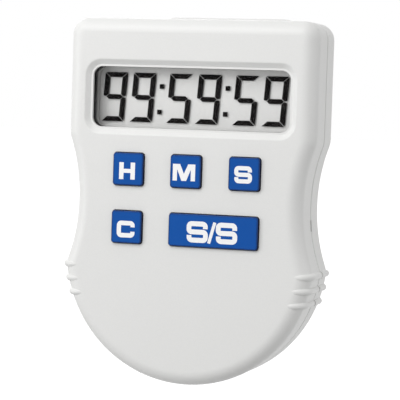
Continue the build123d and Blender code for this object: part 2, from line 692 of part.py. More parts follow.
# ---------------------------------------------------------------- keys
def key(x, z, width, stems):
    """Hard keycap: a hollow cap, a flange behind the face and a stem over each dome."""
    cap = slab(RectangleRounded(width, KEY_H, KEY_R), -KEY_PROUD, WALL + SEAT_GAP + FLANGE_T)
    cap = fillet(cap.faces().sort_by(Axis.Y)[0].edges(), KEY_EDGE)
    flange = RectangleRounded(width + 2 * FLANGE_OUT, KEY_H + 2 * FLANGE_OUT, KEY_R + FLANGE_OUT)
    back = WALL + SEAT_GAP + FLANGE_T
    cap += slab(flange, WALL + SEAT_GAP, back)
    hollow = RectangleRounded(width - 2 * KEY_WALL, KEY_H - 2 * KEY_WALL, KEY_R)
    cap -= slab(hollow, -KEY_PROUD + KEY_WALL, back + 1)
    for step in stems:
        cap += slab(Pos(step, 0) * Circle(STEM_R), -KEY_PROUD / 2, PLUNGER_FRONT - SEAT_GAP)
    return Pos(x, 0, z) * cap


def contact_pill(x, z, width, stems):
    """Carbon pills under a key, which close its contacts on the board."""
    return [disc(x + step, z, PILL_R, PILL_BACK - PILL_T, PILL_BACK) for step in stems]


def dome_places():
    return [(x + step, z) for x, z, _, stems in KEYS.values() for step in stems]


def keymat():
    """Silicone sheet on the board, with a collapsing dome under each stem."""
    right = KEY_PITCH + KEY_W / 2 + MAT_MARGIN
    low = LOWER_Z - KEY_H / 2 + DOME_WEB
    high = UPPER_Z + KEY_H / 2 + DOME_WEB
    sheet = Pos(0, (low + high) / 2) * RectangleRounded(2 * right, high - low, 1.5)
    mat_front = BOARD_FRONT - MAT_T
    mat = slab(sheet, mat_front, BOARD_FRONT)
    outer = Polyline(
        (0, PLUNGER_FRONT),
        (PLUNGER_R, PLUNGER_FRONT),
        (PLUNGER_R, PLUNGER_FRONT + DOME_WEB),
        (DOME_R, mat_front),
        (DOME_R, BOARD_FRONT),
        (0, BOARD_FRONT),
        close=True,
    )
    inner = Polyline(
        (0, PILL_BACK - PILL_T),
        (PLUNGER_R - DOME_WEB / 2, PILL_BACK - PILL_T),
        (DOME_R - DOME_WEB, BOARD_FRONT + DOME_WEB),
        (0, BOARD_FRONT + DOME_WEB),
        close=True,
    )
    dome = revolve(make_face(outer), Axis.Y)
    hollow = revolve(make_face(inner), Axis.Y)
    for x, z in dome_places():
        mat += Pos(x, 0, z) * dome
    for x, z in dome_places():
        mat -= Pos(x, 0, z) * hollow
    for x, z in BOARD_SCREWS + HOUSING_SCREWS:
        mat -= disc(x, z, BOSS_R + HOLE_GAP, 0, DEPTH)
    return mat


# ---------------------------------------------------------------- screws
def screw(x, z, seat, shank_r, length, head_r, head_t):
    """Pan-head screw along y, its head behind the seat."""
    head = disc(0, 0, head_r, seat, seat + head_t)
    head = fillet(head.faces().sort_by(Axis.Y)[-1].edges(), head_t / 2)
    shank = disc(0, 0, shank_r, seat - length, seat)
    shank = chamfer(shank.faces().sort_by(Axis.Y)[0].edges(), shank_r / 2)
    slot = 2 * shank_r / 3
    cross = Rectangle(head_r, slot) + Rectangle(slot, head_r)
    return Pos(x, 0, z) * (head + shank - slab(cross, seat + head_t / 3, seat + 2 * head_t))


def housing_screws():
    sizes = (HOUSING_SEAT, HOUSING_SCREW_R - THREAD_BITE, HOUSING_SCREW_L, HOUSING_HEAD_R, HOUSING_HEAD_T)
    return [screw(x, z, *sizes) for x, z in HOUSING_SCREWS]


def board_screws():
    sizes = (BOARD_BACK, BOARD_SCREW_R - THREAD_BITE, BOARD_SCREW_L, BOARD_HEAD_R, BOARD_HEAD_T)
    return [screw(x, z, *sizes) for x, z in BOARD_SCREWS]


# ---------------------------------------------------------------- buzzer
def buzzer_ring():
    """Foam ring that carries the disc clear of the back."""
    ring = Pos(0, BUZZER_Z) * (Circle(BUZZER_R) - Circle(BUZZER_R - RING_W))
    return slab(ring, DEPTH - WALL - RING_T, DEPTH - WALL)


def buzzer_disc():
    """Brass disc with its ceramic layer."""
    back = DEPTH - WALL - RING_T
    brass = disc(0, BUZZER_Z, BUZZER_R, back - BUZZER_T, back)
    return brass + disc(0, BUZZER_Z, CERAMIC_R, back - BUZZER_T - CERAMIC_T, back - BUZZER_T)


def buzzer_leads():
    """Two wires from the disc to the board."""
    disc_front = DEPTH - WALL - RING_T - BUZZER_T
    board = BOARD_BACK + LEAD_R + SEAT_GAP
    wires = []
    for x, start in ((-BUZZER_LEAD_X, disc_front), (-CERAMIC_LEAD_X, disc_front - CERAMIC_T)):
        y = start - LEAD_R - SEAT_GAP
        stations = []
        for share, depth in ((0, y), (1 / 3, y), (2 / 3, board + 2 * LEAD_R), (1, board)):
            stations.append((x - share * BUZZER_LEAD_LEAN, depth, BUZZER_Z - share * BUZZER_LEAD_DROP))
        wires.append(lead(*stations))
    return wires


# ---------------------------------------------------------------- spring clip
def clip_lever():
    """Lever with a finger tab above the pin, a jaw below it and two cheeks that turn on the pin."""
    inner = CLIP_DEPTH - CLIP_T
    jaw = DEPTH + PAD_GAP + PAD_T
    side = Polygon(
        (CLIP_DEPTH, CLIP_TOP),
        (CLIP_DEPTH, CLIP_BEND - CLIP_T / 2),
        (jaw + JAW_T, JAW_LOW),
        (jaw, JAW_LOW),
        (jaw, JAW_HIGH),
        (jaw + JAW_T / 2, JAW_HIGH),
        (inner, CLIP_BEND),
        (inner, CLIP_TOP),
        align=None,
    )
    bends = [v for v in side.vertices() if CLIP_BEND - CLIP_T < v.Y < CLIP_BEND + CLIP_T]
    side = fillet(bends, BEND_R)
    tip = [v for v in side.vertices() if v.Y > CLIP_TOP - CLIP_T / 2]
    side = fillet(tip, 0.4 * CLIP_T)
    lever = across(side, -CLIP_HALF, CLIP_HALF)
    lever &= slab(clip_plan(), DEPTH, CLIP_DEPTH)
    for x in (-CHEEK_X, CHEEK_X):
        lever += cheek(x)
    for z in magnet_heights():
        lever -= disc(0, z, MAGNET_R + SEAT_GAP, CLIP_DEPTH - MAGNET_T - SEAT_GAP, CLIP_DEPTH + 1)
    return lever


def clip_plan():
    """The lever seen from behind: a finger tab and a slightly narrower jaw, all corners round."""
    plan = Polygon(
        (-CLIP_HALF, CLIP_TOP),
        (-CLIP_HALF, PIVOT_Z),
        (CLIP_TAPER - CLIP_HALF, JAW_LOW),
        (CLIP_HALF - CLIP_TAPER, JAW_LOW),
        (CLIP_HALF, PIVOT_Z),
        (CLIP_HALF, CLIP_TOP),
        align=None,
    )
    corners = [v for v in plan.vertices() if abs(v.Y - PIVOT_Z) > CLIP_TAB_R]
    return fillet(corners, CLIP_TAB_R)


def cheek(x):
    barrel = Pos(PIVOT_Y, PIVOT_Z) * Circle(BARREL_R)
    inner = CLIP_DEPTH - CLIP_T
    web = Polygon(
        (inner + CLIP_T / 2, PIVOT_Z - CHEEK_ROOT),
        (inner, PIVOT_Z - CHEEK_ROOT),
        (PIVOT_Y, PIVOT_Z - BARREL_R),
        (PIVOT_Y, PIVOT_Z + BARREL_R),
        (inner, PIVOT_Z + CHEEK_ROOT),
        (inner + CLIP_T / 2, PIVOT_Z + CHEEK_ROOT),
        align=None,
    )
    ear = barrel + web - Pos(PIVOT_Y, PIVOT_Z) * Circle(PIN_R + PIN_PLAY)
    return across(ear, x - LUG_T / 2, x + LUG_T / 2)


def magnet_heights():
    return [MAGNET_Z - MAGNET_SPREAD / 2, MAGNET_Z + MAGNET_SPREAD / 2]


def magnets():
    return [disc(0, z, MAGNET_R, CLIP_DEPTH - MAGNET_T, CLIP_DEPTH) for z in magnet_heights()]


def clip_pad():
    """Rubber pad on the jaw, which presses on the back."""
    half = CLIP_HALF - CLIP_TAPER - CLIP_TAB_R - PAD_INSET
    pad = Rectangle(2 * half, JAW_L - 2 * PAD_INSET)
    back = DEPTH + PAD_GAP + PAD_T
    return slab(Pos(0, (JAW_LOW + JAW_HIGH) / 2) * pad, DEPTH + PAD_GAP, back)


def clip_pin():
    half = LUG_X + LUG_T / 2
    return Pos(0, PIVOT_Y, PIVOT_Z) * Rot(0, 90, 0) * Cylinder(PIN_R, 2 * half)


def leg_turn(y):
    """Angle on the coil, from +y towards +z, where a straight leg to depth y leaves it."""
    away = sqrt((y - PIVOT_Y) ** 2 + LEG_RISE**2)
    aim = atan2(LEG_RISE, y - PIVOT_Y)
    swing = acos(COIL_R / away)
    return aim + swing if y < PIVOT_Y else aim - swing


def clip_spring():
    """Torsion spring round the pin: one leg lies on the housing, the other lifts the finger tab."""
    housing_leg = leg_turn(DEPTH + COIL_WIRE + SEAT_GAP)
    lever_leg = leg_turn(CLIP_DEPTH - CLIP_T - COIL_WIRE - SEAT_GAP) + 2 * pi
    reach = PIVOT_Y - DEPTH - COIL_WIRE - SEAT_GAP
    leg = sqrt(reach**2 + LEG_RISE**2 - COIL_R**2)
    turns = (lever_leg - housing_leg) / (2 * pi) + COIL_TURNS
    length = turns * COIL_PITCH
    step = length / COIL_STRETCHES
    wire = []
    for number in range(COIL_STRETCHES):
        turn = housing_leg + 2 * pi * number * step / COIL_PITCH
        start = Plane(
            origin=(number * step - length / 2, PIVOT_Y, PIVOT_Z),
            x_dir=(0, cos(turn), sin(turn)),
            z_dir=(1, 0, 0),
        )
        coil = start * Helix(COIL_PITCH, step, COIL_R)
        section = Plane(coil @ 0, z_dir=coil % 0) * Circle(COIL_WIRE)
        wire.append(sweep(section, coil))
        if number == 0:
            wire.append(extrude(section, -leg))
    end = Plane(coil @ 1, z_dir=coil % 1) * Circle(COIL_WIRE)
    wire.append(extrude(end, leg))
    spring = wire[0]
    for stretch in wire[1:]:
        spring += stretch
    return spring


# ---------------------------------------------------------------- all pieces
def pieces():
    """Every piece by its node's name."""
    made = {
        "front_shell": front_shell(),
        "rear_shell": rear_shell(),
        "battery_door": battery_door(),
        "display_window": display_window(),
        "lcd_frame": lcd_frame(),
        "lcd_panel": lcd_panel(),
        "lcd_reflector": lcd_reflector(),
        "zebra_strip_upper": zebra_strip(1),
        "zebra_strip_lower": zebra_strip(-1),
        "circuit_board": circuit_board(),
        "controller_chip": controller_chip(),
        "quartz_crystal": quartz_crystal(),
        "capacitors": capacitors(),
        "keymat": keymat(),
        "battery": battery(),
        "battery_contact_positive": battery_contact_positive(),
        "battery_contact_negative": battery_contact_negative(),
        "battery_lead_positive": battery_lead(1),
        "battery_lead_negative": battery_lead(-1),
        "buzzer_disc": buzzer_disc(),
        "buzzer_ring": buzzer_ring(),
        "buzzer_leads": buzzer_leads(),
        "housing_screws": housing_screws(),
        "board_screws": board_screws(),
        "clip_lever": clip_lever(),
        "clip_pin": clip_pin(),
        "clip_spring": clip_spring(),
        "clip_pad": clip_pad(),
        "magnets": magnets(),
    }
    for name, place in KEYS.items():
        made[f"key_{name}"] = key(*place)
        made[f"contact_pill_{name}"] = contact_pill(*place)
    return made


def main():
    os.makedirs("parts", exist_ok=True)
    for name, piece in pieces().items():
        parts = piece if isinstance(piece, list) else [piece]
        solids = [solid for part in parts for solid in part.solids()]
        shape = solids[0] if len(solids) == 1 else Compound(children=solids)
        export_step(shape.moved(TO_ROW), f"parts/{name}.step")


main()
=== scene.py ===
"""Studio scene of a lab timer: its CAD frame, dressed, with its figures, legends and rubber.

Sizes of the object are in millimetres and turned to metres by MM, and those in its finishes are
in metres. The frame's Y axis runs from the face to the back of the timer, X to the right seen
from the front, and Z up.
"""
from __future__ import annotations

import logging
import math
from dataclasses import dataclass, field
from enum import Enum

import bmesh
import bpy
from bmesh.types import BMEdge, BMesh, BMFace, BMVert
from bpy.types import Material, Mesh, Node, NodeSocket, NodeTree, Object
from mathutils import Matrix, Vector


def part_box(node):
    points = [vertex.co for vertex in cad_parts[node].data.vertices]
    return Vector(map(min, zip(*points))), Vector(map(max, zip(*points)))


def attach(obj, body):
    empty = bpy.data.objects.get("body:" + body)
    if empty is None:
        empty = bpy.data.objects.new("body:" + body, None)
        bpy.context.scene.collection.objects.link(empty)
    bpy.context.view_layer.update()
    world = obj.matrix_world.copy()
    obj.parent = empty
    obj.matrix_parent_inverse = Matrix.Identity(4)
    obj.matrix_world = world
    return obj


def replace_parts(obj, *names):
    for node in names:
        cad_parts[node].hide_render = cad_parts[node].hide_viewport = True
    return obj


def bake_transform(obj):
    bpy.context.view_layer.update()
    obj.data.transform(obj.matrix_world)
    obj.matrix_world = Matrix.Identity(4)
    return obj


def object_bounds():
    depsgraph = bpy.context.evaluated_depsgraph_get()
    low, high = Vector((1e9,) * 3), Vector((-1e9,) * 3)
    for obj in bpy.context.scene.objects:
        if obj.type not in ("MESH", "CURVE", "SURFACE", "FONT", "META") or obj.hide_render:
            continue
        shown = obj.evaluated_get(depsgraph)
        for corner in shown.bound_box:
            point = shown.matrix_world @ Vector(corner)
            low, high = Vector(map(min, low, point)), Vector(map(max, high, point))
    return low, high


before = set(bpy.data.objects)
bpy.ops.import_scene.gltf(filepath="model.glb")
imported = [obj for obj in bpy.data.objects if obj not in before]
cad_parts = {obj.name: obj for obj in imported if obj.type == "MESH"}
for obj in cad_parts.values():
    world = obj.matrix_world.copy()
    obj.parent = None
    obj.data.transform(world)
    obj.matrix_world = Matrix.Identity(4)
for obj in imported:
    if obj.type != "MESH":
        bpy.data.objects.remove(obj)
CAD_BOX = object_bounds()
MM = 0.001
UPRIGHT = Matrix.Rotation(math.pi / 2, 4, "X")  # from the XY plane into the XZ plane
FORWARD = (0.0, -1.0, 0.0)
WHITE = (1.0, 1.0, 1.0, 1.0)
LOG = logging.getLogger("lab_timer")

Colour = tuple[float, float, float]
Triple = tuple[float, float, float]
Pair = tuple[float, float]

# Cells of noise per metre.
BROAD_CELLS = 60.0
DRIFT_CELLS = 35.0
FLECK_CELLS = 2900.0
EDGE_NOISE_CELLS = 420.0
SMEAR_CELLS = 90.0

# Places of a colour Mix node's sockets, which share their names with its other types.
MIX_SHARE, MIX_FIRST, MIX_SECOND, MIX_COLOUR = 0, 6, 7, 2


# ---------------------------------------------------------------- node trees
class Desk:
    """Adds nodes to one tree and joins them."""

    def __init__(self, tree: NodeTree) -> None:
        """Keep the node tree of a material, a group or the world."""
        self.tree = tree

    def add(self, kind: str, **settings: object) -> Node:
        """Add a node and set its properties.

        Args:
            kind: the node's type name, without its ShaderNode prefix.
            settings: properties of the node by name.

        Returns:
            The new node.
        """
        node = self.tree.nodes.new(kind if kind.startswith("NodeGroup") else f"ShaderNode{kind}")
        for name, value in settings.items():
            setattr(node, name, value)
        return node

    def join(self, source: NodeSocket, node: Node, socket: str | int) -> None:
        """Join an output to a named or numbered input of a node."""
        self.tree.links.new(source, node.inputs[socket])

    def maths(self, operation: str, *values: NodeSocket | float) -> NodeSocket:
        """Add a Math node.

        Args:
            operation: the Math node's operation.
            values: sockets or numbers for its inputs, in order.

        Returns:
            The node's output.
        """
        node = self.add("Math", operation=operation)
        for place, value in enumerate(values):
            if isinstance(value, NodeSocket):
                self.join(value, node, place)
            else:
                node.inputs[place].default_value = value
        return node.outputs[0]

    def about_zero(self, value: NodeSocket, reach: NodeSocket | float) -> NodeSocket:
        """Turn a value from 0 to 1 into a swing about 0, which is this reach from end to end."""
        return self.maths("MULTIPLY", self.maths("SUBTRACT", value, 0.5), reach)

    def mix(
        self, share: NodeSocket, first: NodeSocket | Colour, second: NodeSocket | Colour
    ) -> NodeSocket:
        """Add a colour Mix node.

        Args:
            share: how much of the second colour there is.
            first: socket or plain colour.
            second: socket or plain colour.

        Returns:
            The mixed colour.
        """
        node = self.add("Mix", data_type="RGBA")
        self.join(share, node, MIX_SHARE)
        for place, colour in ((MIX_FIRST, first), (MIX_SECOND, second)):
            if isinstance(colour, NodeSocket):
                self.join(colour, node, place)
            else:
                node.inputs[place].default_value = (*colour, 1.0)
        return node.outputs[MIX_COLOUR]

    def noise(self, place: NodeSocket, cells: float, detail: float | None = None) -> NodeSocket:
        """Add a Noise Texture node.

        Args:
            place: where it is read.
            cells: its scale.
            detail: finer layers on top, or None for the node's own.

        Returns:
            The noise, from 0 to 1.
        """
        node = self.add("TexNoise")
        self.join(place, node, "Vector")
        node.inputs["Scale"].default_value = cells
        if detail is not None:
            node.inputs["Detail"].default_value = detail
        return node.outputs[0]

    def group(self, name: str, place: NodeSocket, **values: object) -> Node:
        """Place a shared group.

        Args:
            name: its name in GROUPS.
            place: where it is read.
            values: plain values of its inputs by name; colours without their alpha.

        Returns:
            The group's node.
        """
        node = self.add("Group", node_tree=GROUPS[name])
        self.join(place, node, "Vector")
        for socket, value in values.items():
            is_colour = node.inputs[socket].type == "RGBA"
            node.inputs[socket].default_value = (*value, 1.0) if is_colour else value
        return node

    def bump(self, height: NodeSocket, depth: float, shader: Node) -> None:
        """Raise a shader's surface.

        Args:
            height: from 0 to 1.
            depth: of the relief, in metres.
            shader: the shader that gets it.
        """
        node = self.add("Bump")
        node.inputs["Distance"].default_value = depth
        self.join(height, node, "Height")
        self.join(node.outputs[0], shader, "Normal")


def new_group(
    name: str, inputs: dict[str, tuple[str, object]], outputs: dict[str, str]
) -> tuple[Desk, Node, Node]:
    """Make an empty shader node group.

    Args:
        name: the group's name.
        inputs: socket type and default by input name.
        outputs: socket type by output name.

    Returns:
        A desk for the group, its input node and its output node.
    """
    group = bpy.data.node_groups.new(name, "ShaderNodeTree")
    for socket, (kind, default) in inputs.items():
        made = group.interface.new_socket(
            name=socket, in_out="INPUT", socket_type=f"NodeSocket{kind}"
        )
        if default is not None:
            made.default_value = default
    for socket, kind in outputs.items():
        group.interface.new_socket(name=socket, in_out="OUTPUT", socket_type=f"NodeSocket{kind}")
    desk = Desk(group)
    return desk, desk.add("NodeGroupInput"), desk.add("NodeGroupOutput")


def grain_group() -> NodeTree:
    """Make a spark-eroded mould's texture, as a fine height and the roughness with it.

    Returns:
        The group.
    """
    desk, given, made = new_group(
        "moulded_grain",
        {
            "Vector": ("Vector", None),
            "Scale": ("Float", 2500.0),
            "Roughness": ("Float", 0.45),
            "Spread": ("Float", 0.06),
        },
        {"Height": "Float", "Roughness": "Float"},
    )
    place, scale = given.outputs["Vector"], given.outputs["Scale"]
    fine_share, pit_share, pit_scale = 0.7, 0.3, 0.6
    fine = desk.add("TexNoise", noise_dimensions="3D")
    desk.join(place, fine, "Vector")
    desk.join(scale, fine, "Scale")
    fine.inputs["Detail"].default_value = 3.0
    pits = desk.add("TexVoronoi", feature="SMOOTH_F1")
    desk.join(place, pits, "Vector")
    desk.join(desk.maths("MULTIPLY", scale, pit_scale), pits, "Scale")
    height = desk.maths(
        "ADD",
        desk.maths("MULTIPLY", fine.outputs[0], fine_share),
        desk.maths("MULTIPLY", pits.outputs[0], pit_share),
    )
    desk.join(height, made, "Height")
    swing = desk.about_zero(desk.noise(place, BROAD_CELLS), given.outputs["Spread"])
    desk.join(desk.maths("ADD", given.outputs["Roughness"], swing), made, "Roughness")
    return desk.tree


def tone_group() -> NodeTree:
    """Make the slight drift of a colour over a moulding, and the colour at its edges: rubbed wear
    on most finishes, painted shade on the keys.

    Returns:
        The group.
    """
    desk, given, made = new_group(
        "moulded_tone",
        {
            "Vector": ("Vector", None),
            "Colour": ("Color", (0.8, 0.8, 0.8, 1.0)),
            "Edge": ("Color", (0.85, 0.85, 0.85, 1.0)),
            "Drift": ("Float", 0.03),
            "Speckle": ("Float", 0.0),
            "Radius": ("Float", 0.0004),
        },
        {"Colour": "Color", "Edge Mask": "Float"},
    )
    place = given.outputs["Vector"]
    edge_gain = 3.0
    swing = desk.about_zero(desk.noise(place, DRIFT_CELLS, detail=4.0), given.outputs["Drift"])
    spots = desk.about_zero(desk.noise(place, FLECK_CELLS), given.outputs["Speckle"])
    shade = desk.add("HueSaturation")
    desk.join(desk.maths("ADD", desk.maths("ADD", swing, 1.0), spots), shade, "Value")
    desk.join(given.outputs["Colour"], shade, "Color")
    bevel = desk.add("Bevel", samples=4)
    desk.join(given.outputs["Radius"], bevel, "Radius")
    flat = desk.add("NewGeometry")
    turned = desk.add("VectorMath", operation="DOT_PRODUCT")
    desk.join(bevel.outputs[0], turned, 0)
    desk.join(flat.outputs["Normal"], turned, 1)
    edge = desk.maths("MULTIPLY", desk.maths("SUBTRACT", 1.0, turned.outputs["Value"]), edge_gain)
    mask = desk.add("Math", operation="MULTIPLY", use_clamp=True)
    desk.join(edge, mask, 0)
    desk.join(desk.noise(place, EDGE_NOISE_CELLS), mask, 1)
    # edge colour: rubbed wear on most finishes, painted shade on the keys
    colour = desk.mix(mask.outputs[0], shade.outputs[0], given.outputs["Edge"])
    desk.join(colour, made, "Colour")
    desk.join(mask.outputs[0], made, "Edge Mask")
    return desk.tree


def streak_group() -> NodeTree:
    """Make the long fine streaks of drawn or ground metal, as height and roughness.

    Returns:
        The group.
    """
    desk, given, made = new_group(
        "drawn_streaks",
        {
            "Vector": ("Vector", None),
            "Stretch": ("Vector", (40.0, 3000.0, 3000.0)),
            "Roughness": ("Float", 0.3),
        },
        {"Height": "Float", "Roughness": "Float"},
    )
    spread = 0.3
    scaled = desk.add("VectorMath", operation="MULTIPLY")
    desk.join(given.outputs["Vector"], scaled, 0)
    desk.join(given.outputs["Stretch"], scaled, 1)
    streaks = desk.noise(scaled.outputs[0], cells=1.0, detail=2.0)
    desk.join(streaks, made, "Height")
    swing = desk.about_zero(streaks, spread)
    desk.join(desk.maths("ADD", given.outputs["Roughness"], swing), made, "Roughness")
    return desk.tree


GROUPS: dict[str, NodeTree] = {
    "grain": grain_group(),
    "tone": tone_group(),
    "streak": streak_group(),
}


# ---------------------------------------------------------------- finishes
def start_material(name: str) -> tuple[Material, Desk, Node, NodeSocket]:
    """Make a node material with one Principled shader.

    Args:
        name: the material's name.

    Returns:
        The material, its desk, its shader and the Object coordinates.
    """
    material = bpy.data.materials.new(name)
    material.use_nodes = True
    desk = Desk(material.node_tree)
    shader = material.node_tree.nodes["Principled BSDF"]
    place = desk.add("TexCoord").outputs["Object"]
    return material, desk, shader, place


@dataclass(frozen=True)
class Moulded:
    """Injection-moulded plastic or rubber.

    Attributes:
        name: the material's name.
        colour: its colour.
        edge: its colour at the edges: rubbed wear on most finishes, painted shade on the keys.
        roughness: how matt it is.
        grain: cells of mould texture per metre.
        depth: height of that texture in metres.
        drift: how far its brightness drifts.
        radius: width of those edges in metres.
        alpha: how much of what is behind it, it hides.
        coat: weight of a clear coat.
        shine: level of its mirror-like reflection.
        metal: how metallic it is, as pearl or foil is.
        speckle: how much its colour varies from grain to grain.
        painted_shading_rim: where along Y a band of painted shading starts and is full, in metres,
            if it has one; painted shade round the keys, painted light on the frame's inner wall.
        painted_shading_colour: colour painted in that band, standing for that shade or light.
        painted_shading_reach: how strongly the painted colour also reaches over the edges onto the
            face.
    """

    name: str
    colour: Colour
    edge: Colour
    roughness: float = 0.45
    grain: float = 2600.0
    depth: float = 0.000006
    drift: float = 0.03
    radius: float = 0.0004
    alpha: float = 1.0
    coat: float = 0.0
    shine: float = 0.5
    metal: float = 0.0
    speckle: float = 0.0
    painted_shading_rim: Pair | None = None
    painted_shading_colour: Colour = (0.0, 0.0, 0.0)
    painted_shading_reach: float = 4.0

    def paint_shading_rim(self, desk: Desk, place: NodeSocket, tone: Node) -> NodeSocket:
        """Paint shading into a colour, from the flat face towards the rim: painted shade round the
        keys, painted light on the frame's inner wall.

        Args:
            desk: the material's nodes.
            place: the Object coordinates.
            tone: the tone group's node.

        Returns:
            The colour with its rim.
        """
        parts = desk.add("SeparateXYZ")
        desk.join(place, parts, 0)
        fade = desk.add("MapRange", interpolation_type="SMOOTHSTEP")
        desk.join(parts.outputs["Y"], fade, "Value")
        fade.inputs["From Min"].default_value = self.painted_shading_rim[0]
        fade.inputs["From Max"].default_value = self.painted_shading_rim[1]
        near = desk.maths("MULTIPLY", tone.outputs["Edge Mask"], self.painted_shading_reach)
        either = desk.add("Math", operation="MAXIMUM", use_clamp=True)
        desk.join(fade.outputs[0], either, 0)
        desk.join(near, either, 1)
        # painted light and shade: the band along Y and the edges take the painted colour
        return desk.mix(either.outputs[0], tone.outputs["Colour"], self.painted_shading_colour)

    def material(self) -> Material:
        """Build the node material.

        Returns:
            The material.
        """
        material, desk, shader, place = start_material(self.name)
        tone = desk.group(
            "tone",
            place,
            Colour=self.colour,
            Edge=self.edge,
            Drift=self.drift,
            Speckle=self.speckle,
            Radius=self.radius,
        )
        grain = desk.group("grain", place, Scale=self.grain, Roughness=self.roughness)
        colour = tone.outputs["Colour"] if self.painted_shading_rim is None else self.paint_shading_rim(desk, place, tone)
        desk.join(colour, shader, "Base Color")
        desk.join(grain.outputs["Roughness"], shader, "Roughness")
        desk.bump(grain.outputs["Height"], self.depth, shader)
        shader.inputs["Alpha"].default_value = self.alpha
        shader.inputs["Coat Weight"].default_value = self.coat
        shader.inputs["Specular IOR Level"].default_value = self.shine
        shader.inputs["Metallic"].default_value = self.metal
        return material


@dataclass(frozen=True)
class Clear:
    """Clear sheet, seen through from the front and glossy at a glance.

    Attributes:
        name: the material's name.
        tint: colour of its gloss.
        veil: how much it hides, seen square on.
        glance: how much more it hides, seen edge on.
        onset: how late that comes as it turns away.
        roughness: of its gloss.
    """

    name: str
    tint: Colour
    veil: float = 0.0015
    glance: float = 0.5
    onset: float = 3.0
    roughness: float = 0.04

    def material(self) -> Material:
        """Build the node material.

        Returns:
            The material.
        """
        material, desk, shader, place = start_material(self.name)
        facing = desk.add("LayerWeight").outputs["Facing"]
        rise = desk.maths("MULTIPLY", desk.maths("POWER", facing, self.onset), self.glance)
        desk.join(desk.maths("ADD", rise, self.veil), shader, "Alpha")
        swing = desk.maths("MULTIPLY", desk.noise(place, SMEAR_CELLS), self.roughness)
        desk.join(desk.maths("ADD", swing, self.roughness / 2), shader, "Roughness")
        shader.inputs["Base Color"].default_value = (*self.tint, 1.0)
        shader.inputs["Metallic"].default_value = 1.0
        return material


@dataclass(frozen=True)
class Sleeve:
    """Printed battery sleeve over a steel can, banded along X.

    Attributes:
        name: the material's name.
        body: colour of the sleeve.
        band: colour of its printed band.
        steel: colour of the bare can at both ends.
        start: where the band starts, in metres along X.
        end: where it ends.
        bare: where the sleeve ends, either side of the middle.
        roughness: how dull it is.
        depth: height of its streaks in metres.
    """

    name: str
    body: Colour
    band: Colour
    steel: Colour
    start: float
    end: float
    bare: float
    roughness: float = 0.3
    depth: float = 0.000002

    def between(self, desk: Desk, along: NodeSocket, low: float, high: float) -> NodeSocket:
        """Give 1 where a coordinate lies between two values, and 0 elsewhere."""
        above = desk.maths("GREATER_THAN", along, low)
        return desk.maths("MULTIPLY", above, desk.maths("LESS_THAN", along, high))

    def material(self) -> Material:
        """Build the node material.

        Returns:
            The material.
        """
        material, desk, shader, place = start_material(self.name)
        parts = desk.add("SeparateXYZ")
        desk.join(place, parts, 0)
        along = parts.outputs["X"]
        printed = desk.mix(self.between(desk, along, self.start, self.end), self.body, self.band)
        bare = desk.maths("SUBTRACT", 1.0, self.between(desk, along, -self.bare, self.bare))
        whole = desk.mix(bare, printed, self.steel)
        tone = desk.group("tone", place, Edge=self.steel)
        desk.join(whole, tone, "Colour")
        streak = desk.group("streak", place, Roughness=self.roughness)
        desk.join(tone.outputs["Colour"], shader, "Base Color")
        desk.join(bare, shader, "Metallic")
        desk.join(streak.outputs["Roughness"], shader, "Roughness")
        desk.bump(streak.outputs["Height"], self.depth, shader)
        return material


@dataclass(frozen=True)
class Metal:
    """Drawn, plated or stamped metal.

    Attributes:
        name: the material's name.
        colour: its colour.
        roughness: how dull it is.
        stretch: streaks per metre along X, Y and Z.
        depth: height of the streaks in metres.
        drift: how far its brightness drifts.
        radius: width of the rubbed edges in metres.
        polish: how much brighter those are.
    """

    name: str
    colour: Colour
    roughness: float = 0.28
    stretch: Triple = (60.0, 2500.0, 2500.0)
    depth: float = 0.000004
    drift: float = 0.12
    radius: float = 0.0002
    polish: float = 1.25

    def material(self) -> Material:
        """Build the node material.

        Returns:
            The material.
        """
        material, desk, shader, place = start_material(self.name)
        tone = desk.group(
            "tone",
            place,
            Colour=self.colour,
            Edge=tuple(min(1.0, part * self.polish) for part in self.colour),
            Drift=self.drift,
            Radius=self.radius,
        )
        streak = desk.group("streak", place, Stretch=self.stretch, Roughness=self.roughness)
        desk.join(tone.outputs["Colour"], shader, "Base Color")
        desk.join(streak.outputs["Roughness"], shader, "Roughness")
        desk.bump(streak.outputs["Height"], self.depth, shader)
        shader.inputs["Metallic"].default_value = 1.0
        return material


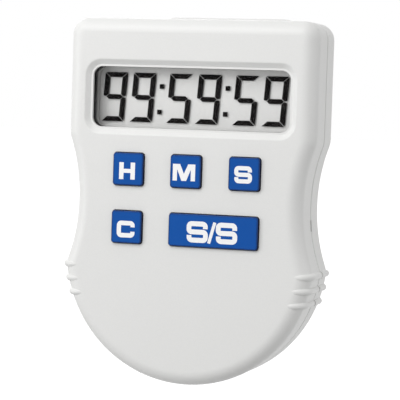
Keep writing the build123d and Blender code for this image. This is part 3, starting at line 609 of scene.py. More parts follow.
class Finish(Enum):
    """Every finish on the timer."""

    HOUSING = Moulded(
        "housing_white", (0.80, 0.80, 0.788), (0.86, 0.86, 0.85),
        roughness=0.42, depth=0.000012, speckle=0.05,
    )
    CLIP = Moulded(
        "clip_white", (0.78, 0.78, 0.77), (0.85, 0.85, 0.84),
        roughness=0.40, depth=0.000012, speckle=0.04,
    )
    # The keys' darker edge colour and the near-black band along their sides and edges are painted
    # shade, standing for the shadowed gap round each key.
    KEY = Moulded(
        "key_blue", (0.0, 0.081, 0.375), (0.0, 0.07, 0.33),
        roughness=0.3, drift=0.3, radius=0.0006, shine=0.2,
        painted_shading_rim=(-0.03688, -0.03665), painted_shading_colour=(0.0, 0.005, 0.035), painted_shading_reach=14.0,
    )
    LEGEND = Moulded(
        "legend_white", (0.97, 0.97, 0.97), (0.97, 0.97, 0.97), roughness=0.5, drift=0.02
    )
    # The frame's inner wall turns from black to pale grey towards the cell: painted light, standing
    # for light thrown back from the reflector.
    FRAME = Moulded(
        "frame_black", (0.006, 0.006, 0.007), (0.01, 0.01, 0.01), roughness=0.55,
        painted_shading_rim=(-0.0327, -0.0304), painted_shading_colour=(0.55, 0.55, 0.54), painted_shading_reach=0.0,
    )
    REFLECTOR = Moulded(
        "lcd_reflector", (0.69, 0.69, 0.68), (0.69, 0.69, 0.68),
        roughness=0.4, grain=5200.0, drift=0.02, metal=0.3,
    )
    FIGURE = Moulded(
        "lcd_figures", (0.006, 0.005, 0.005), (0.006, 0.005, 0.005),
        roughness=0.4, drift=0.1, shine=0.05,
    )
    PANE = Clear("window_clear", (0.95, 0.96, 0.97))
    CELL = Clear("lcd_glass", (0.9, 0.93, 0.9), veil=0.001, glance=0.3)
    ELASTOMER = Moulded("elastomer", (0.16, 0.16, 0.17), (0.2, 0.2, 0.2), roughness=0.7)
    BOARD = Moulded(
        "board_green", (0.015, 0.16, 0.06), (0.35, 0.32, 0.2),
        roughness=0.32, drift=0.15, coat=0.3,
    )
    RESIN = Moulded("resin_black", (0.008, 0.008, 0.008), (0.015, 0.015, 0.015), roughness=0.18)
    CERAMIC = Moulded("ceramic_tan", (0.42, 0.29, 0.17), (0.5, 0.4, 0.28), roughness=0.5)
    SILICONE = Moulded("silicone_grey", (0.5, 0.51, 0.52), (0.56, 0.57, 0.58), roughness=0.55)
    CARBON = Moulded("carbon_pill", (0.02, 0.02, 0.02), (0.03, 0.03, 0.03), roughness=0.65)
    SLEEVE = Sleeve(
        "battery_sleeve", (0.46, 0.47, 0.49), (0.02, 0.05, 0.16), (0.6, 0.6, 0.58),
        start=0.0105, end=0.0195, bare=0.0208,
    )
    LEAD_RED = Moulded("lead_red", (0.5, 0.015, 0.012), (0.55, 0.03, 0.03), roughness=0.4)
    LEAD_BLACK = Moulded("lead_black", (0.012, 0.012, 0.012), (0.03, 0.03, 0.03), roughness=0.4)
    FOAM = Moulded(
        "foam_black", (0.03, 0.03, 0.03), (0.05, 0.05, 0.05),
        roughness=0.9, grain=1800.0, depth=0.00006,
    )
    PAD = Moulded(
        "pad_rubber", (0.12, 0.12, 0.125), (0.16, 0.16, 0.16), roughness=0.75, depth=0.00002
    )
    PLATED = Metal("plated_steel", (0.56, 0.55, 0.52), roughness=0.24)
    BRASS = Metal("buzzer_brass", (0.76, 0.56, 0.24), roughness=0.3)
    SCREW = Metal(
        "screw_steel", (0.52, 0.52, 0.53), roughness=0.3, stretch=(900.0, 900.0, 900.0)
    )
    SPRING = Metal(
        "spring_steel", (0.42, 0.42, 0.43), roughness=0.3, stretch=(1500.0, 300.0, 300.0)
    )
    MAGNET = Metal(
        "magnet_nickel", (0.40, 0.395, 0.38),
        roughness=0.24, stretch=(900.0, 900.0, 60.0), depth=0.00001,
    )


MATERIALS: dict[Finish, Material] = {}


def dress(piece: Object, finish: Finish) -> Object:
    """Give a piece one finish all over.

    Args:
        piece: the mesh object.
        finish: which finish.

    Returns:
        The same piece.
    """
    if finish not in MATERIALS:
        MATERIALS[finish] = finish.value.material()
    piece.data.materials.clear()
    piece.data.materials.append(MATERIALS[finish])
    return piece


def dress_nodes(finishes: dict[str, Finish]) -> list[Object]:
    """Give CAD nodes their finishes, which are set out by node name."""
    return [dress(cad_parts[name], finish) for name, finish in finishes.items()]


# ---------------------------------------------------------------- mesh helpers
def add_object(name: str, data: bpy.types.ID) -> Object:
    """Put data in the scene.

    Args:
        name: the object's name.
        data: a mesh, a camera or a lamp.

    Returns:
        The object that holds it.
    """
    made = bpy.data.objects.new(name, data)
    bpy.context.scene.collection.objects.link(made)
    return made


def mesh_data(name: str, mesh: BMesh) -> Mesh:
    """Turn a bmesh into mesh data.

    Args:
        name: the data's name.
        mesh: the bmesh, which is freed.

    Returns:
        The mesh data.
    """
    data = bpy.data.meshes.new(name)
    mesh.to_mesh(data)
    mesh.free()
    return data


def piece_from(name: str, mesh: BMesh, finish: Finish, body: str | None) -> Object:
    """Turn a bmesh, already in place, into a piece.

    Args:
        name: the piece's name.
        mesh: its bmesh, which is freed.
        finish: its finish.
        body: the CAD body that it rides on, or None for a piece between two bodies, which is left
            unattached.

    Returns:
        The piece.
    """
    bmesh.ops.recalc_face_normals(mesh, faces=mesh.faces)
    piece = dress(add_object(name, mesh_data(name, mesh)), finish)
    if body is not None:
        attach(piece, body)
    return piece


def verts_in(geometry: list[object]) -> list[BMVert]:
    """Pick the vertices out of what a bmesh operator returns."""
    return [part for part in geometry if isinstance(part, BMVert)]


def edges_in(geometry: list[object]) -> list[BMEdge]:
    """Pick the edges out of what a bmesh operator returns."""
    return [part for part in geometry if isinstance(part, BMEdge)]


def raise_faces(mesh: BMesh, faces: list[BMFace], thickness: float) -> None:
    """Make a plate of flat faces, towards -Y, or towards +Y by a negative thickness."""
    made = bmesh.ops.extrude_face_region(mesh, geom=faces, use_keep_orig=True)
    bmesh.ops.translate(mesh, verts=verts_in(made["geom"]), vec=(0.0, -thickness, 0.0))


def centre_of(node: str) -> Vector:
    """Find the middle of a CAD node's box."""
    low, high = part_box(node)
    return (low + high) / 2


def bevel_corners(mesh: BMesh, corners: list[BMVert], radius: float, segments: int) -> None:
    """Round the corners of an outline or a line.

    Args:
        mesh: the bmesh.
        corners: its corners.
        radius: how far from the corner the rounding starts, in metres.
        segments: how many stretches a corner gets.
    """
    bmesh.ops.bevel(
        mesh,
        geom=corners,
        offset=radius,
        segments=segments,
        profile=0.5,
        affect="VERTICES",
        material=-1,
    )


# ---------------------------------------------------------------- housing
@dataclass
class Housing:
    """The two shells and the battery door."""

    def build(self) -> list[Object]:
        """Dress the shells and the door."""
        nodes = "front_shell", "rear_shell", "battery_door"
        return dress_nodes({node: Finish.HOUSING for node in nodes})


# ---------------------------------------------------------------- display
@dataclass
class Display:
    """Pane, frame, glass cell, reflector and the figures that the cell shows.

    Attributes:
        text: the figures, with a colon between the pairs.
        height: height of a figure.
        width: width of a figure, before it leans.
        bar: width of a level segment.
        side_bar: width of an upright segment.
        gap: space between two segments.
        step: how far an upright's outer corner stands off the middle line, per bar.
        lean: how far a figure leans, in degrees.
        pitch: from one figure to the next in a pair.
        colon_pitch: from one figure to the next over a colon.
        dot: side of a colon's dot.
        dot_rise: from the middle to each dot.
        dot_shift: from the middle of two figures to the colon between them, as (x, z).
        offset: from the window's centre to the figures' centre, as (x, z).
        thickness: of the segments.
        figure_depth: from the cell's face to the figures in it.
        layer_depth: from the cell's face to the pearly layer behind them.
        layer_thickness: of that layer.
    """

    text: str = "99:59:59"
    height: float = 13.15
    width: float = 6.4
    bar: float = 1.3
    side_bar: float = 1.45
    gap: float = 0.2
    step: float = 0.15
    lean: float = 4.2
    pitch: float = 8.1
    colon_pitch: float = 10.33
    dot: float = 1.25
    dot_rise: float = 3.42
    dot_shift: Pair = (-0.1, -0.35)
    offset: Pair = (-0.52, 0.0)
    thickness: float = 0.03
    figure_depth: float = 0.15
    layer_depth: float = 0.6
    layer_thickness: float = 0.05

    def segment(self, mesh: BMesh, letter: str) -> list[BMFace]:
        """Draw one segment of a figure about the figure's centre, mitred to its neighbours.

        Args:
            mesh: the bmesh.
            letter: a to g, clockwise from the top, g in the middle.

        Returns:
            Its face.
        """
        half_w, half_h = self.width / 2, self.height / 2
        bar, side, gap = self.bar, self.side_bar, self.gap
        edge = gap / math.sqrt(2)
        top = [
            (edge - half_w, half_h),
            (half_w - edge, half_h),
            (half_w - side - edge, half_h - bar),
            (side + edge - half_w, half_h - bar),
        ]
        upright = [
            (half_w, half_h - edge),
            (half_w, gap / 2 + bar * self.step),
            (half_w - side / 2, gap / 2),
            (half_w - side, bar / 2 + gap / 2),
            (half_w - side, half_h - bar - edge),
        ]
        middle = [
            (side / 2 + edge - half_w, 0.0),
            (side + edge - half_w, bar / 2),
            (half_w - side - edge, bar / 2),
            (half_w - side / 2 - edge, 0.0),
            (half_w - side - edge, -bar / 2),
            (side + edge - half_w, -bar / 2),
        ]
        outline = {"a": top, "d": top, "g": middle}.get(letter, upright)
        left = -1.0 if letter in "ef" else 1.0
        down = -1.0 if letter in "cde" else 1.0
        shear = math.tan(math.radians(self.lean))
        corners = [
            mesh.verts.new(((x * left + z * down * shear) * MM, 0.0, z * down * MM))
            for x, z in outline
        ]
        return [mesh.faces.new(corners)]

    def dots(self, mesh: BMesh) -> list[BMFace]:
        """Draw the two square dots of a colon about its centre.

        Args:
            mesh: the bmesh.

        Returns:
            Their faces.
        """
        faces = []
        shear = math.tan(math.radians(self.lean))
        for rise in (-self.dot_rise, self.dot_rise):
            place = Matrix.Translation((rise * shear * MM, 0.0, rise * MM)) @ UPRIGHT
            made = bmesh.ops.create_grid(
                mesh, x_segments=1, y_segments=1, size=self.dot / 2 * MM, matrix=place
            )
            faces += {face for vert in made["verts"] for face in vert.link_faces}
        return faces

    def figures(self) -> Object:
        """Draw all the figures and colons, as thin dark segments inside the glass cell.

        Returns:
            The figures.
        """
        lit = {"5": "acdfg", "9": "abcdfg"}
        pane = centre_of("display_window")
        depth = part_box("lcd_panel")[0].y + self.figure_depth * MM
        span = self.pitch * 3 + self.colon_pitch * 2
        x = self.offset[0] - span / 2
        mesh = bmesh.new()
        for place, sign in enumerate(self.text):
            before = set(mesh.verts)
            up = self.offset[1]
            if sign == ":":
                faces = self.dots(mesh)
                at = x - self.colon_pitch / 2 + self.dot_shift[0]
                up += self.dot_shift[1]
            else:
                faces = [face for letter in lit[sign] for face in self.segment(mesh, letter)]
                at = x
                x += self.colon_pitch if self.text[place + 1 : place + 2] == ":" else self.pitch
            raise_faces(mesh, faces, self.thickness * MM)
            new = [vert for vert in mesh.verts if vert not in before]
            bmesh.ops.translate(mesh, verts=new, vec=(pane.x + at * MM, depth, pane.z + up * MM))
        return piece_from("lcd_figures", mesh, Finish.FIGURE, "housing")

    def layer(self) -> Object:
        """Lay the pearly layer inside the glass cell, which the figures are seen against.

        Returns:
            The layer.
        """
        low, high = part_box("lcd_reflector")
        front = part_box("lcd_panel")[0].y + self.layer_depth * MM
        size = Vector((high.x - low.x, self.layer_thickness * MM, high.z - low.z))
        middle = Vector(((low.x + high.x) / 2, front + size.y / 2, (low.z + high.z) / 2))
        mesh = bmesh.new()
        place = Matrix.Translation(middle) @ Matrix.Diagonal((*size, 1.0))
        bmesh.ops.create_cube(mesh, size=1.0, matrix=place)
        return piece_from("lcd_layer", mesh, Finish.REFLECTOR, "housing")

    def build(self) -> list[Object]:
        """Dress the display's nodes and add the pearly layer and the figures.

        Returns:
            The display's pieces.
        """
        nodes = dress_nodes(
            {
                "display_window": Finish.PANE,
                "lcd_frame": Finish.FRAME,
                "lcd_panel": Finish.CELL,
                "lcd_reflector": Finish.REFLECTOR,
                "zebra_strip_upper": Finish.ELASTOMER,
                "zebra_strip_lower": Finish.ELASTOMER,
            }
        )
        return [*nodes, self.layer(), self.figures()]


# ---------------------------------------------------------------- keypad
class Letter(Enum):
    """Every letter and sign on the keys."""

    H = "H"
    M = "M"
    S = "S"
    C = "C"
    SLASH = "/"


# Centre lines in a box one unit high and wide, of the letters that are drawn as a line.
CENTRE_LINES: dict[Letter, tuple[Pair, ...]] = {
    Letter.S: (
        (0.98, 0.7),
        (0.98, 1.0),
        (0.0, 1.0),
        (0.0, 0.5),
        (1.0, 0.5),
        (1.0, 0.0),
        (0.02, 0.0),
        (0.02, 0.3),
    ),
    Letter.C: ((1.0, 0.68), (1.0, 1.0), (0.0, 1.0), (0.0, 0.0), (1.0, 0.0), (1.0, 0.32)),
    Letter.SLASH: ((0.0, 0.0), (1.0, 1.0)),
}

# Proportions of the letters that are drawn as an outline.
H_BAR = 0.42  # half the bar's width, per stroke
M_NOTCH = -0.08  # where the two slopes meet above, per height from the middle
M_SHOULDER = 0.36  # where a slope starts at the top, per half width
M_CROTCH = 0.19  # where a slope leaves its post, per height from the middle
M_FOOT = 0.21  # where a slope ends at the foot, per half width


@dataclass
class Legend:
    """One printed letter.

    Attributes:
        letter: which letter.
        height: over all, as printed.
        width: over all, as printed.
        stroke: width of its line.
        shift: from the key's centre to the letter's centre.
        bend: rounding of its corners, on the centre line.
        bend_steps: stretches of a rounded corner.
        merge: points of the two halves of a letter that are nearer than this are one.
    """

    letter: Letter
    height: float
    width: float
    stroke: float
    shift: Pair = (0.0, 0.0)
    bend: float = 0.0
    bend_steps: int = 6
    merge: float = 0.01

    def right_half(self) -> list[Pair]:
        """Outline the right half of an H or an M about its centre.

        Returns:
            Its corners, from the middle line outwards and back.
        """
        half, tall, post, bar = self.width / 2, self.height / 2, self.stroke, H_BAR * self.stroke
        if self.letter is Letter.H:
            return [
                (0.0, bar),
                (half - post, bar),
                (half - post, tall),
                (half, tall),
                (half, -tall),
                (half - post, -tall),
                (half - post, -bar),
                (0.0, -bar),
            ]
        return [
            (0.0, M_NOTCH * self.height),
            (M_SHOULDER * half, tall),
            (half, tall),
            (half, -tall),
            (half - post, -tall),
            (half - post, M_CROTCH * self.height),
            (M_FOOT * half, -tall),
            (0.0, -tall),
        ]

    def draw_outline(self, thickness: float) -> BMesh:
        """Draw the letter from its outline, with its back in the XZ plane.

        Args:
            thickness: of the print, in metres.

        Returns:
            Its bmesh.
        """
        shape = bmesh.new()
        corners = [shape.verts.new((x * MM, 0.0, z * MM)) for x, z in self.right_half()]
        shape.faces.new(corners)
        half = [*shape.verts, *shape.edges, *shape.faces]
        bmesh.ops.mirror(shape, geom=half, axis="X", merge_dist=self.merge * MM)
        raise_faces(shape, shape.faces[:], thickness)
        return shape

    def draw_stroke(self, thickness: float) -> BMesh:
        """Draw the letter from its centre line, as a thin wall on the XZ plane.

        Args:
            thickness: of the print, in metres.

        Returns:
            Its bmesh.
        """
        span_x, span_z = self.width - self.stroke, self.height - self.stroke
        shape = bmesh.new()
        points = [
            shape.verts.new(((x - 0.5) * span_x * MM, 0.0, (z - 0.5) * span_z * MM))
            for x, z in CENTRE_LINES[self.letter]
        ]
        for start, end in zip(points, points[1:]):
            shape.edges.new((start, end))
        if self.bend:
            bevel_corners(shape, points[1:-1], self.bend * MM, self.bend_steps)
        wall = bmesh.ops.extrude_edge_only(shape, edges=shape.edges[:])
        bmesh.ops.translate(shape, verts=verts_in(wall["geom"]), vec=(0.0, -thickness, 0.0))
        bmesh.ops.recalc_face_normals(shape, faces=shape.faces)
        return shape

    def draw(self, mesh: BMesh, centre: Vector, thickness: float) -> None:
        """Add the letter to a mesh, standing on the key's face.

        Args:
            mesh: the bmesh.
            centre: the key's centre, with the face's depth as its y.
            thickness: of the print, in metres.
        """
        outlined = self.letter not in CENTRE_LINES
        shape = self.draw_outline(thickness) if outlined else self.draw_stroke(thickness)
        data = mesh_data("letter", shape)
        if not outlined:
            self.thicken(data)
        place = (centre.x + self.shift[0] * MM, centre.y, centre.z + self.shift[1] * MM)
        data.transform(Matrix.Translation(place))
        mesh.from_mesh(data)
        bpy.data.meshes.remove(data)

    def thicken(self, data: Mesh) -> None:
        """Give a standing line its stroke width, with even corners.

        Args:
            data: the mesh of the line, changed in place.
        """
        holder = add_object("stroke", data)
        solid = holder.modifiers.new("width", "SOLIDIFY")
        solid.thickness = self.stroke * MM
        solid.offset = 0.0
        solid.use_even_offset = True
        shaped = bmesh.new()
        shaped.from_object(holder, bpy.context.evaluated_depsgraph_get())
        shaped.to_mesh(data)
        shaped.free()
        bpy.data.objects.remove(holder)


def key_legends() -> dict[str, tuple[Legend, ...]]:
    """Set out the letters on each key.

    Returns:
        The letters by key, from left to right.
    """
    return {
        "hours": (Legend(Letter.H, 4.5, 4.45, 1.25, (-0.2, -0.48)),),
        "minutes": (Legend(Letter.M, 4.4, 6.2, 1.2, (-0.35, -0.25)),),
        "seconds": (Legend(Letter.S, 4.5, 4.85, 1.1, (-0.2, -0.15), bend=0.6),),
        "clear": (Legend(Letter.C, 4.45, 5.05, 1.2, (-0.1, -0.58), bend=0.65),),
        "start_stop": (
            Legend(Letter.S, 5.6, 5.9, 1.3, (-4.2, -0.3), bend=0.75),
            Legend(Letter.SLASH, 6.4, 2.4, 0.85, (-0.2, -0.35)),
            Legend(Letter.S, 5.6, 5.9, 1.3, (3.85, -0.3), bend=0.75),
        ),
    }


@dataclass
class Rubber:
    """Silicone sheet on the board, with domes that fold as their key is pressed.

    Attributes:
        thickness: of the sheet.
        corner: radius of its corners.
        corner_steps: stretches of a rounded corner.
        dome: radius of a dome where it meets the sheet.
        mouth: radius of its hollow at the board.
        plunger: radius of the flat end under a stem.
        front: thickness of that end.
        web: thickness of a dome's wall.
        pill: radius of the pill in a dome.
        lap: how far the sheet reaches into a dome's foot.
        dip: how far the lower domes reach past the sheet's lower edge.
        post: radius of the holes round the board's posts.
        posts: from the middle to each of those two posts.
        post_drop: from the sheet's top edge down to them.
        sides: faces round a dome.
        merge: points of a dome that are nearer than this are one.
    """

    thickness: float = 0.8
    corner: float = 1.5
    corner_steps: int = 8
    dome: float = 4.1
    mouth: float = 3.27
    plunger: float = 2.6
    front: float = 1.3
    web: float = 0.5
    pill: float = 1.8
    lap: float = 0.3
    dip: float = 0.25
    post: float = 2.8
    posts: float = 8.035
    post_drop: float = 12.55
    sides: int = 48
    merge: float = 0.001

    def places(self, key: str) -> list[Pair]:
        """Find the domes under a key, which has one or two, one over each pill.

        Args:
            key: the key's name.

        Returns:
            X and Z of each.
        """
        low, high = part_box(f"contact_pill_{key}")
        middle = (low + high) / 2
        apart = (high.x - low.x) / 2 - self.pill * MM
        steps = (-apart, apart) if apart > self.pill * MM else (0.0,)
        return [(middle.x + step, middle.z) for step in steps]

    def sheet(self, keys: list[str]) -> Object:
        """Cut the sheet, with its openings.

        Args:
            keys: the keys above it.

        Returns:
            The sheet, which stands for the CAD's mat together with the domes.
        """
        low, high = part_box("keymat")
        low.z += self.dip * MM
        front = high.y - self.thickness * MM
        mesh = bmesh.new()
        middle = Matrix.Translation(((low.x + high.x) / 2, front, (low.z + high.z) / 2))
        size = Matrix.Diagonal((high.x - low.x, high.z - low.z, 1.0, 1.0))
        place = middle @ UPRIGHT @ size
        bmesh.ops.create_grid(mesh, x_segments=1, y_segments=1, size=0.5, matrix=place)
        bevel_corners(mesh, mesh.verts[:], self.corner * MM, self.corner_steps)
        bmesh.ops.delete(mesh, geom=mesh.faces[:], context="FACES_ONLY")
        openings = [(x, z, self.dome - self.lap) for key in keys for x, z in self.places(key)]
        posts_z = high.z - self.post_drop * MM
        openings += [(way * self.posts * MM, posts_z, self.post) for way in (-1, 1)]
        for x, z, radius in openings:
            place = Matrix.Translation((x, front, z)) @ UPRIGHT
            bmesh.ops.create_circle(mesh, segments=self.sides, radius=radius * MM, matrix=place)
        bmesh.ops.triangle_fill(mesh, edges=mesh.edges[:], use_beauty=True, normal=FORWARD)
        raise_faces(mesh, mesh.faces[:], front - high.y)
        piece = piece_from("mat_sheet", mesh, Finish.SILICONE, "housing")
        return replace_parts(piece, "keymat")

    def domes(self, key: str) -> Object:
        """Shape the domes under a key.

        Args:
            key: the key's name.

        Returns:
            The domes, between the board and the key.
        """
        low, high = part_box("keymat")
        depth = (high.y - low.y) / MM
        profile = (
            (0.0, 0.0),
            (self.plunger, 0.0),
            (self.plunger, self.web),
            (self.dome, depth - self.thickness),
            (self.dome, depth),
            (self.mouth, depth),
            (self.plunger - self.web / 2, self.front),
            (0.0, self.front),
        )
        mesh = bmesh.new()
        for x, z in self.places(key):
            verts = [mesh.verts.new((x + out * MM, low.y + back * MM, z)) for out, back in profile]
            edges = [mesh.edges.new(pair) for pair in zip(verts, verts[1:])]
            bmesh.ops.spin(
                mesh,
                geom=[*verts, *edges],
                cent=(x, 0.0, z),
                axis=(0.0, 1.0, 0.0),
                angle=math.tau,
                steps=self.sides,
                use_merge=True,
            )
        bmesh.ops.remove_doubles(mesh, verts=mesh.verts[:], dist=self.merge * MM)
        piece = piece_from(f"dome_{key}", mesh, Finish.SILICONE, None)
        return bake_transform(piece)


@dataclass
class Keypad:
    """Five keys with their printed legends, and the rubber under them.

    Attributes:
        print_height: how far the print stands off a key.
        sink: how far it reaches into the key.
        legends: the letters by key.
        rubber: the sheet and its domes.
    """

    print_height: float = 0.03
    sink: float = 0.01
    legends: dict[str, tuple[Legend, ...]] = field(default_factory=key_legends)
    rubber: Rubber = field(default_factory=Rubber)

    def legend(self, key: str) -> Object:
        """Print one key's legend on its face.

        Args:
            key: the key's name.

        Returns:
            The print.
        """
        low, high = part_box(f"key_{key}")
        centre = Vector(((low.x + high.x) / 2, low.y + self.sink * MM, (low.z + high.z) / 2))
        mesh = bmesh.new()
        for letter in self.legends[key]:
            letter.draw(mesh, centre, (self.print_height + self.sink) * MM)
        return piece_from(f"legend_{key}", mesh, Finish.LEGEND, f"{key}_key")

    def build(self) -> list[Object]:
        """Dress the keys, print their legends and lay the rubber under them.

        Returns:
            The keypad's pieces.
        """
        pieces = [self.rubber.sheet(list(self.legends))]
        for key in self.legends:
            pieces += dress_nodes({f"key_{key}": Finish.KEY, f"contact_pill_{key}": Finish.CARBON})
            pieces += [self.legend(key), self.rubber.domes(key)]
        return pieces


# ---------------------------------------------------------------- inside
@dataclass
class Works:
    """Circuit board, buzzer, battery, wires and screws."""

    def build(self) -> list[Object]:
        """Dress everything inside the housing.

        Returns:
            The pieces inside.
        """
        return dress_nodes(
            {
                "circuit_board": Finish.BOARD,
                "controller_chip": Finish.RESIN,
                "quartz_crystal": Finish.PLATED,
                "capacitors": Finish.CERAMIC,
                "buzzer_disc": Finish.BRASS,
                "buzzer_ring": Finish.FOAM,
                "buzzer_leads": Finish.LEAD_BLACK,
                "battery": Finish.SLEEVE,
                "battery_contact_positive": Finish.PLATED,
                "battery_contact_negative": Finish.PLATED,
                "battery_lead_positive": Finish.LEAD_RED,
                "battery_lead_negative": Finish.LEAD_BLACK,
                "housing_screws": Finish.SCREW,
                "board_screws": Finish.SCREW,
            }
        )


# ---------------------------------------------------------------- clip
@dataclass
class Clip:
    """Lever, pin, pad and magnets on the back, and the torsion spring that closes the jaw.

    Attributes:
        lever: thickness of the lever.
        wire: radius of the spring's wire.
        rest: gap between a leg and what it lies on.
        radius: of the coil, at the middle of the wire.
        turns: whole turns of the coil, before its last part of a turn.
        rise: from the pin to the ends of the legs.
        sides: faces round the wire.
        steps: faces along one turn.
    """

    lever: float = 2.4
    wire: float = 0.42
    rest: float = 0.06
    radius: float = 1.75
    turns: int = 4
    rise: float = 10.5
    sides: int = 12
    steps: int = 28

    def leg_turn(self, reach: float) -> float:
        """Find the angle round the coil, from +Y to +Z, where a leg with this reach leaves it."""
        swing = math.acos(self.radius / math.hypot(reach, self.rise))
        return math.atan2(self.rise, reach) + math.copysign(swing, -reach)

    def spring(self) -> Object:
        """Wind the spring round the pin, with one leg on the housing and one on the lever.

        Returns:
            The spring, between the housing and the clip.
        """
        pin = centre_of("clip_pin")
        _, door_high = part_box("battery_door")
        _, lever_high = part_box("clip_lever")
        clear = (self.wire + self.rest) * MM
        backward = (door_high.y + clear - pin.y) / MM
        forward = (lever_high.y - self.lever * MM - clear - pin.y) / MM
        first = self.leg_turn(backward)
        last = self.leg_turn(forward) + math.tau * (self.turns + 1)
        coil_low, coil_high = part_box("clip_spring")
        length = coil_high.x - coil_low.x - 2 * self.wire * MM
        steps = round((last - first) / math.tau * self.steps)
        mesh = bmesh.new()
        around = Matrix.Translation((-length / 2, pin.y, pin.z)) @ Matrix.Rotation(first, 4, "X")
        section = around @ Matrix.Translation((0.0, self.radius * MM, 0.0))
        ring = bmesh.ops.create_circle(
            mesh, segments=self.sides, radius=self.wire * MM, matrix=section
        )["verts"]
        start = list({edge for vert in ring for edge in vert.link_edges})
        wound = bmesh.ops.spin(
            mesh,
            geom=[*ring, *start],
            cent=pin,
            axis=(1.0, 0.0, 0.0),
            dvec=(length / steps, 0.0, 0.0),
            angle=last - first,
            steps=steps,
        )
        end = edges_in(wound["geom_last"])
        for edges, turn, reach, way in ((start, first, backward, -1.0), (end, last, forward, 1.0)):
            leg = way * math.sqrt(reach**2 + self.rise**2 - self.radius**2) * MM
            along = (0.0, -math.sin(turn) * leg, math.cos(turn) * leg)
            made = bmesh.ops.extrude_edge_only(mesh, edges=edges)
            bmesh.ops.translate(mesh, verts=verts_in(made["geom"]), vec=along)
        bmesh.ops.holes_fill(mesh, edges=[edge for edge in mesh.edges if edge.is_boundary])
        for face in mesh.faces:
            face.smooth = len(face.verts) < self.sides  # the wire's two ends stay flat
        piece = piece_from("spring_wire", mesh, Finish.SPRING, None)
        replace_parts(piece, "clip_spring")
        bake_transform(piece)
        return piece

    def build(self) -> list[Object]:
        """Dress the clip and wind its spring.

        Returns:
            The clip's pieces.
        """
        nodes = dress_nodes(
            {
                "clip_lever": Finish.CLIP,
                "clip_pin": Finish.PLATED,
                "clip_pad": Finish.PAD,
                "magnets": Finish.MAGNET,
            }
        )
        return [*nodes, self.spring()]


# ---------------------------------------------------------------- studio
@dataclass(frozen=True)
class Softbox:
    """Square area lamp that faces the middle of the timer.

    Attributes:
        name: the lamp's name.
        place: from the timer's middle, in metres.
        size: its side, in metres.
        power: in watts.
    """

    name: str
    place: Triple
    size: float
    power: float

    def hang(self) -> None:
        """Put the lamp in its place and turn it to the timer."""
        data = bpy.data.lights.new(self.name, "AREA")
        data.size = self.size
        data.energy = self.power
        lamp = add_object(self.name, data)
        low, high = CAD_BOX
        middle = (Vector(low) + Vector(high)) / 2
        lamp.location = middle + Vector(self.place)
        lamp.rotation_euler = (middle - lamp.location).to_track_quat("-Z", "Y").to_euler()


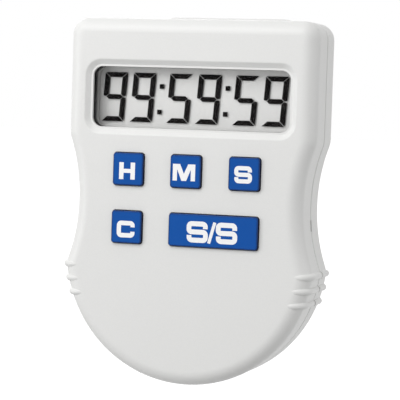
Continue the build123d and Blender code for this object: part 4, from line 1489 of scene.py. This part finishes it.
@dataclass
class Studio:
    """Camera, lights, floor and white surround.

    Attributes:
        azimuth: how far the camera stands to the timer's right, in degrees.
        elevation: how far it looks down, in degrees.
        roll: how far it leans, in degrees.
        distance: from the target to the camera.
        lens: its focal length.
        sensor: width of its sensor.
        nearest: how near it sees.
        target: where it looks, from the middle of the front shell's lowest edge.
        proud: how far the keys stand out of the face.
        drop: from the timer's lowest point to the floor.
        floor_reach: from the floor's middle to its sides.
        floor_grey: how much light the floor reflects.
        floor_roughness: how matt it is.
        floor_glow: its own brightness, as the camera sees it.
        ambient: strength of the surround's light on the timer, where 1 is what the camera sees.
        softboxes: the lamps.
    """

    azimuth: float = 18.0
    elevation: float = 3.08
    roll: float = 1.845
    distance: float = 472.4
    lens: float = 162.0
    sensor: float = 36.0
    nearest: float = 10.0
    target: Pair = (4.03, 49.6)
    proud: float = 0.9
    drop: float = 46.0
    floor_reach: float = 6000.0
    floor_grey: float = 0.45
    floor_roughness: float = 0.9
    floor_glow: float = 0.86
    ambient: float = 0.55
    softboxes: tuple[Softbox, ...] = (
        Softbox("key_light", (-0.13, -0.34, 0.27), size=0.28, power=0.93),
        Softbox("left_light", (-1.3, -0.9, 0.2), size=0.5, power=4.4),
        Softbox("side_light", (1.0, 0.1, 0.2), size=0.6, power=1.3),
        Softbox("back_light", (-0.6, 1.1, 0.5), size=0.6, power=2.1),
    )

    def camera(self) -> None:
        """Set up the camera at the product view."""
        low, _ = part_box("front_shell")
        key_low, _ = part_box("key_hours")
        face = key_low.y + self.proud * MM
        aim = Vector((self.target[0] * MM, face, low.z + self.target[1] * MM))
        turn, tilt, lean = map(math.radians, (self.azimuth, self.elevation, self.roll))
        level = math.cos(tilt)
        ahead = Vector((-math.sin(turn) * level, math.cos(turn) * level, -math.sin(tilt)))
        side = Vector((math.cos(turn), math.sin(turn), 0.0))
        up = side.cross(ahead)
        right = side * math.cos(lean) + up * math.sin(lean)
        top = up * math.cos(lean) - side * math.sin(lean)
        data = bpy.data.cameras.new("camera")
        data.lens = self.lens
        data.sensor_width = self.sensor
        data.clip_start = self.nearest * MM
        camera = add_object("camera", data)
        facing = Matrix((right, top, -ahead)).transposed().to_4x4()
        camera.matrix_world = Matrix.Translation(aim - ahead * self.distance * MM) @ facing
        bpy.context.scene.camera = camera

    def floor(self) -> None:
        """Lay the pale floor."""
        low, _ = CAD_BOX
        mesh = bmesh.new()
        place = Matrix.Translation((0.0, 0.0, low[2] - self.drop * MM))
        reach = self.floor_reach * MM
        bmesh.ops.create_grid(mesh, x_segments=1, y_segments=1, size=reach, matrix=place)
        data = mesh_data("floor", mesh)
        floor = add_object("floor", data)
        material = bpy.data.materials.new("floor_white")
        material.use_nodes = True
        desk = Desk(material.node_tree)
        shader = material.node_tree.nodes["Principled BSDF"]
        grey = self.floor_grey
        shader.inputs["Base Color"].default_value = (grey, grey, grey, 1.0)
        shader.inputs["Roughness"].default_value = self.floor_roughness
        shader.inputs["Emission Color"].default_value = WHITE
        glow = desk.maths("MULTIPLY", self.seen(desk), self.floor_glow)
        desk.join(glow, shader, "Emission Strength")
        data.materials.append(material)

    def seen(self, desk: Desk) -> NodeSocket:
        """Give 1 on rays from the camera, off gloss or through glass, and 0 on all others.

        Args:
            desk: the nodes of the floor or of the world.

        Returns:
            The 1 or 0.
        """
        path = desk.add("LightPath")
        direct = desk.maths("MAXIMUM", path.outputs["Is Camera Ray"], path.outputs["Is Glossy Ray"])
        return desk.maths("MAXIMUM", direct, path.outputs["Is Transmission Ray"])

    def surround(self) -> None:
        """Make the world white to the camera, and softer as light on the timer."""
        world = bpy.data.worlds.new("surround")
        world.use_nodes = True
        bpy.context.scene.world = world
        desk = Desk(world.node_tree)
        light = world.node_tree.nodes["Background"]
        light.inputs["Color"].default_value = WHITE
        lift = desk.maths("MULTIPLY", self.seen(desk), 1.0 - self.ambient)
        desk.join(desk.maths("ADD", lift, self.ambient), light, "Strength")

    def build(self) -> None:
        """Set up the whole studio."""
        self.camera()
        self.floor()
        self.surround()
        for softbox in self.softboxes:
            softbox.hang()
        bpy.context.scene.view_settings.view_transform = "Standard"


def main() -> None:
    """Build the studio and every sub-assembly."""
    logging.basicConfig(level=logging.INFO, format="%(name)s: %(message)s")
    Studio().build()
    for part in (Housing(), Display(), Keypad(), Works(), Clip()):
        for piece in part.build():
            LOG.info("%s: %s", type(part).__name__, piece.name)


if __name__ == "__main__":
    main()
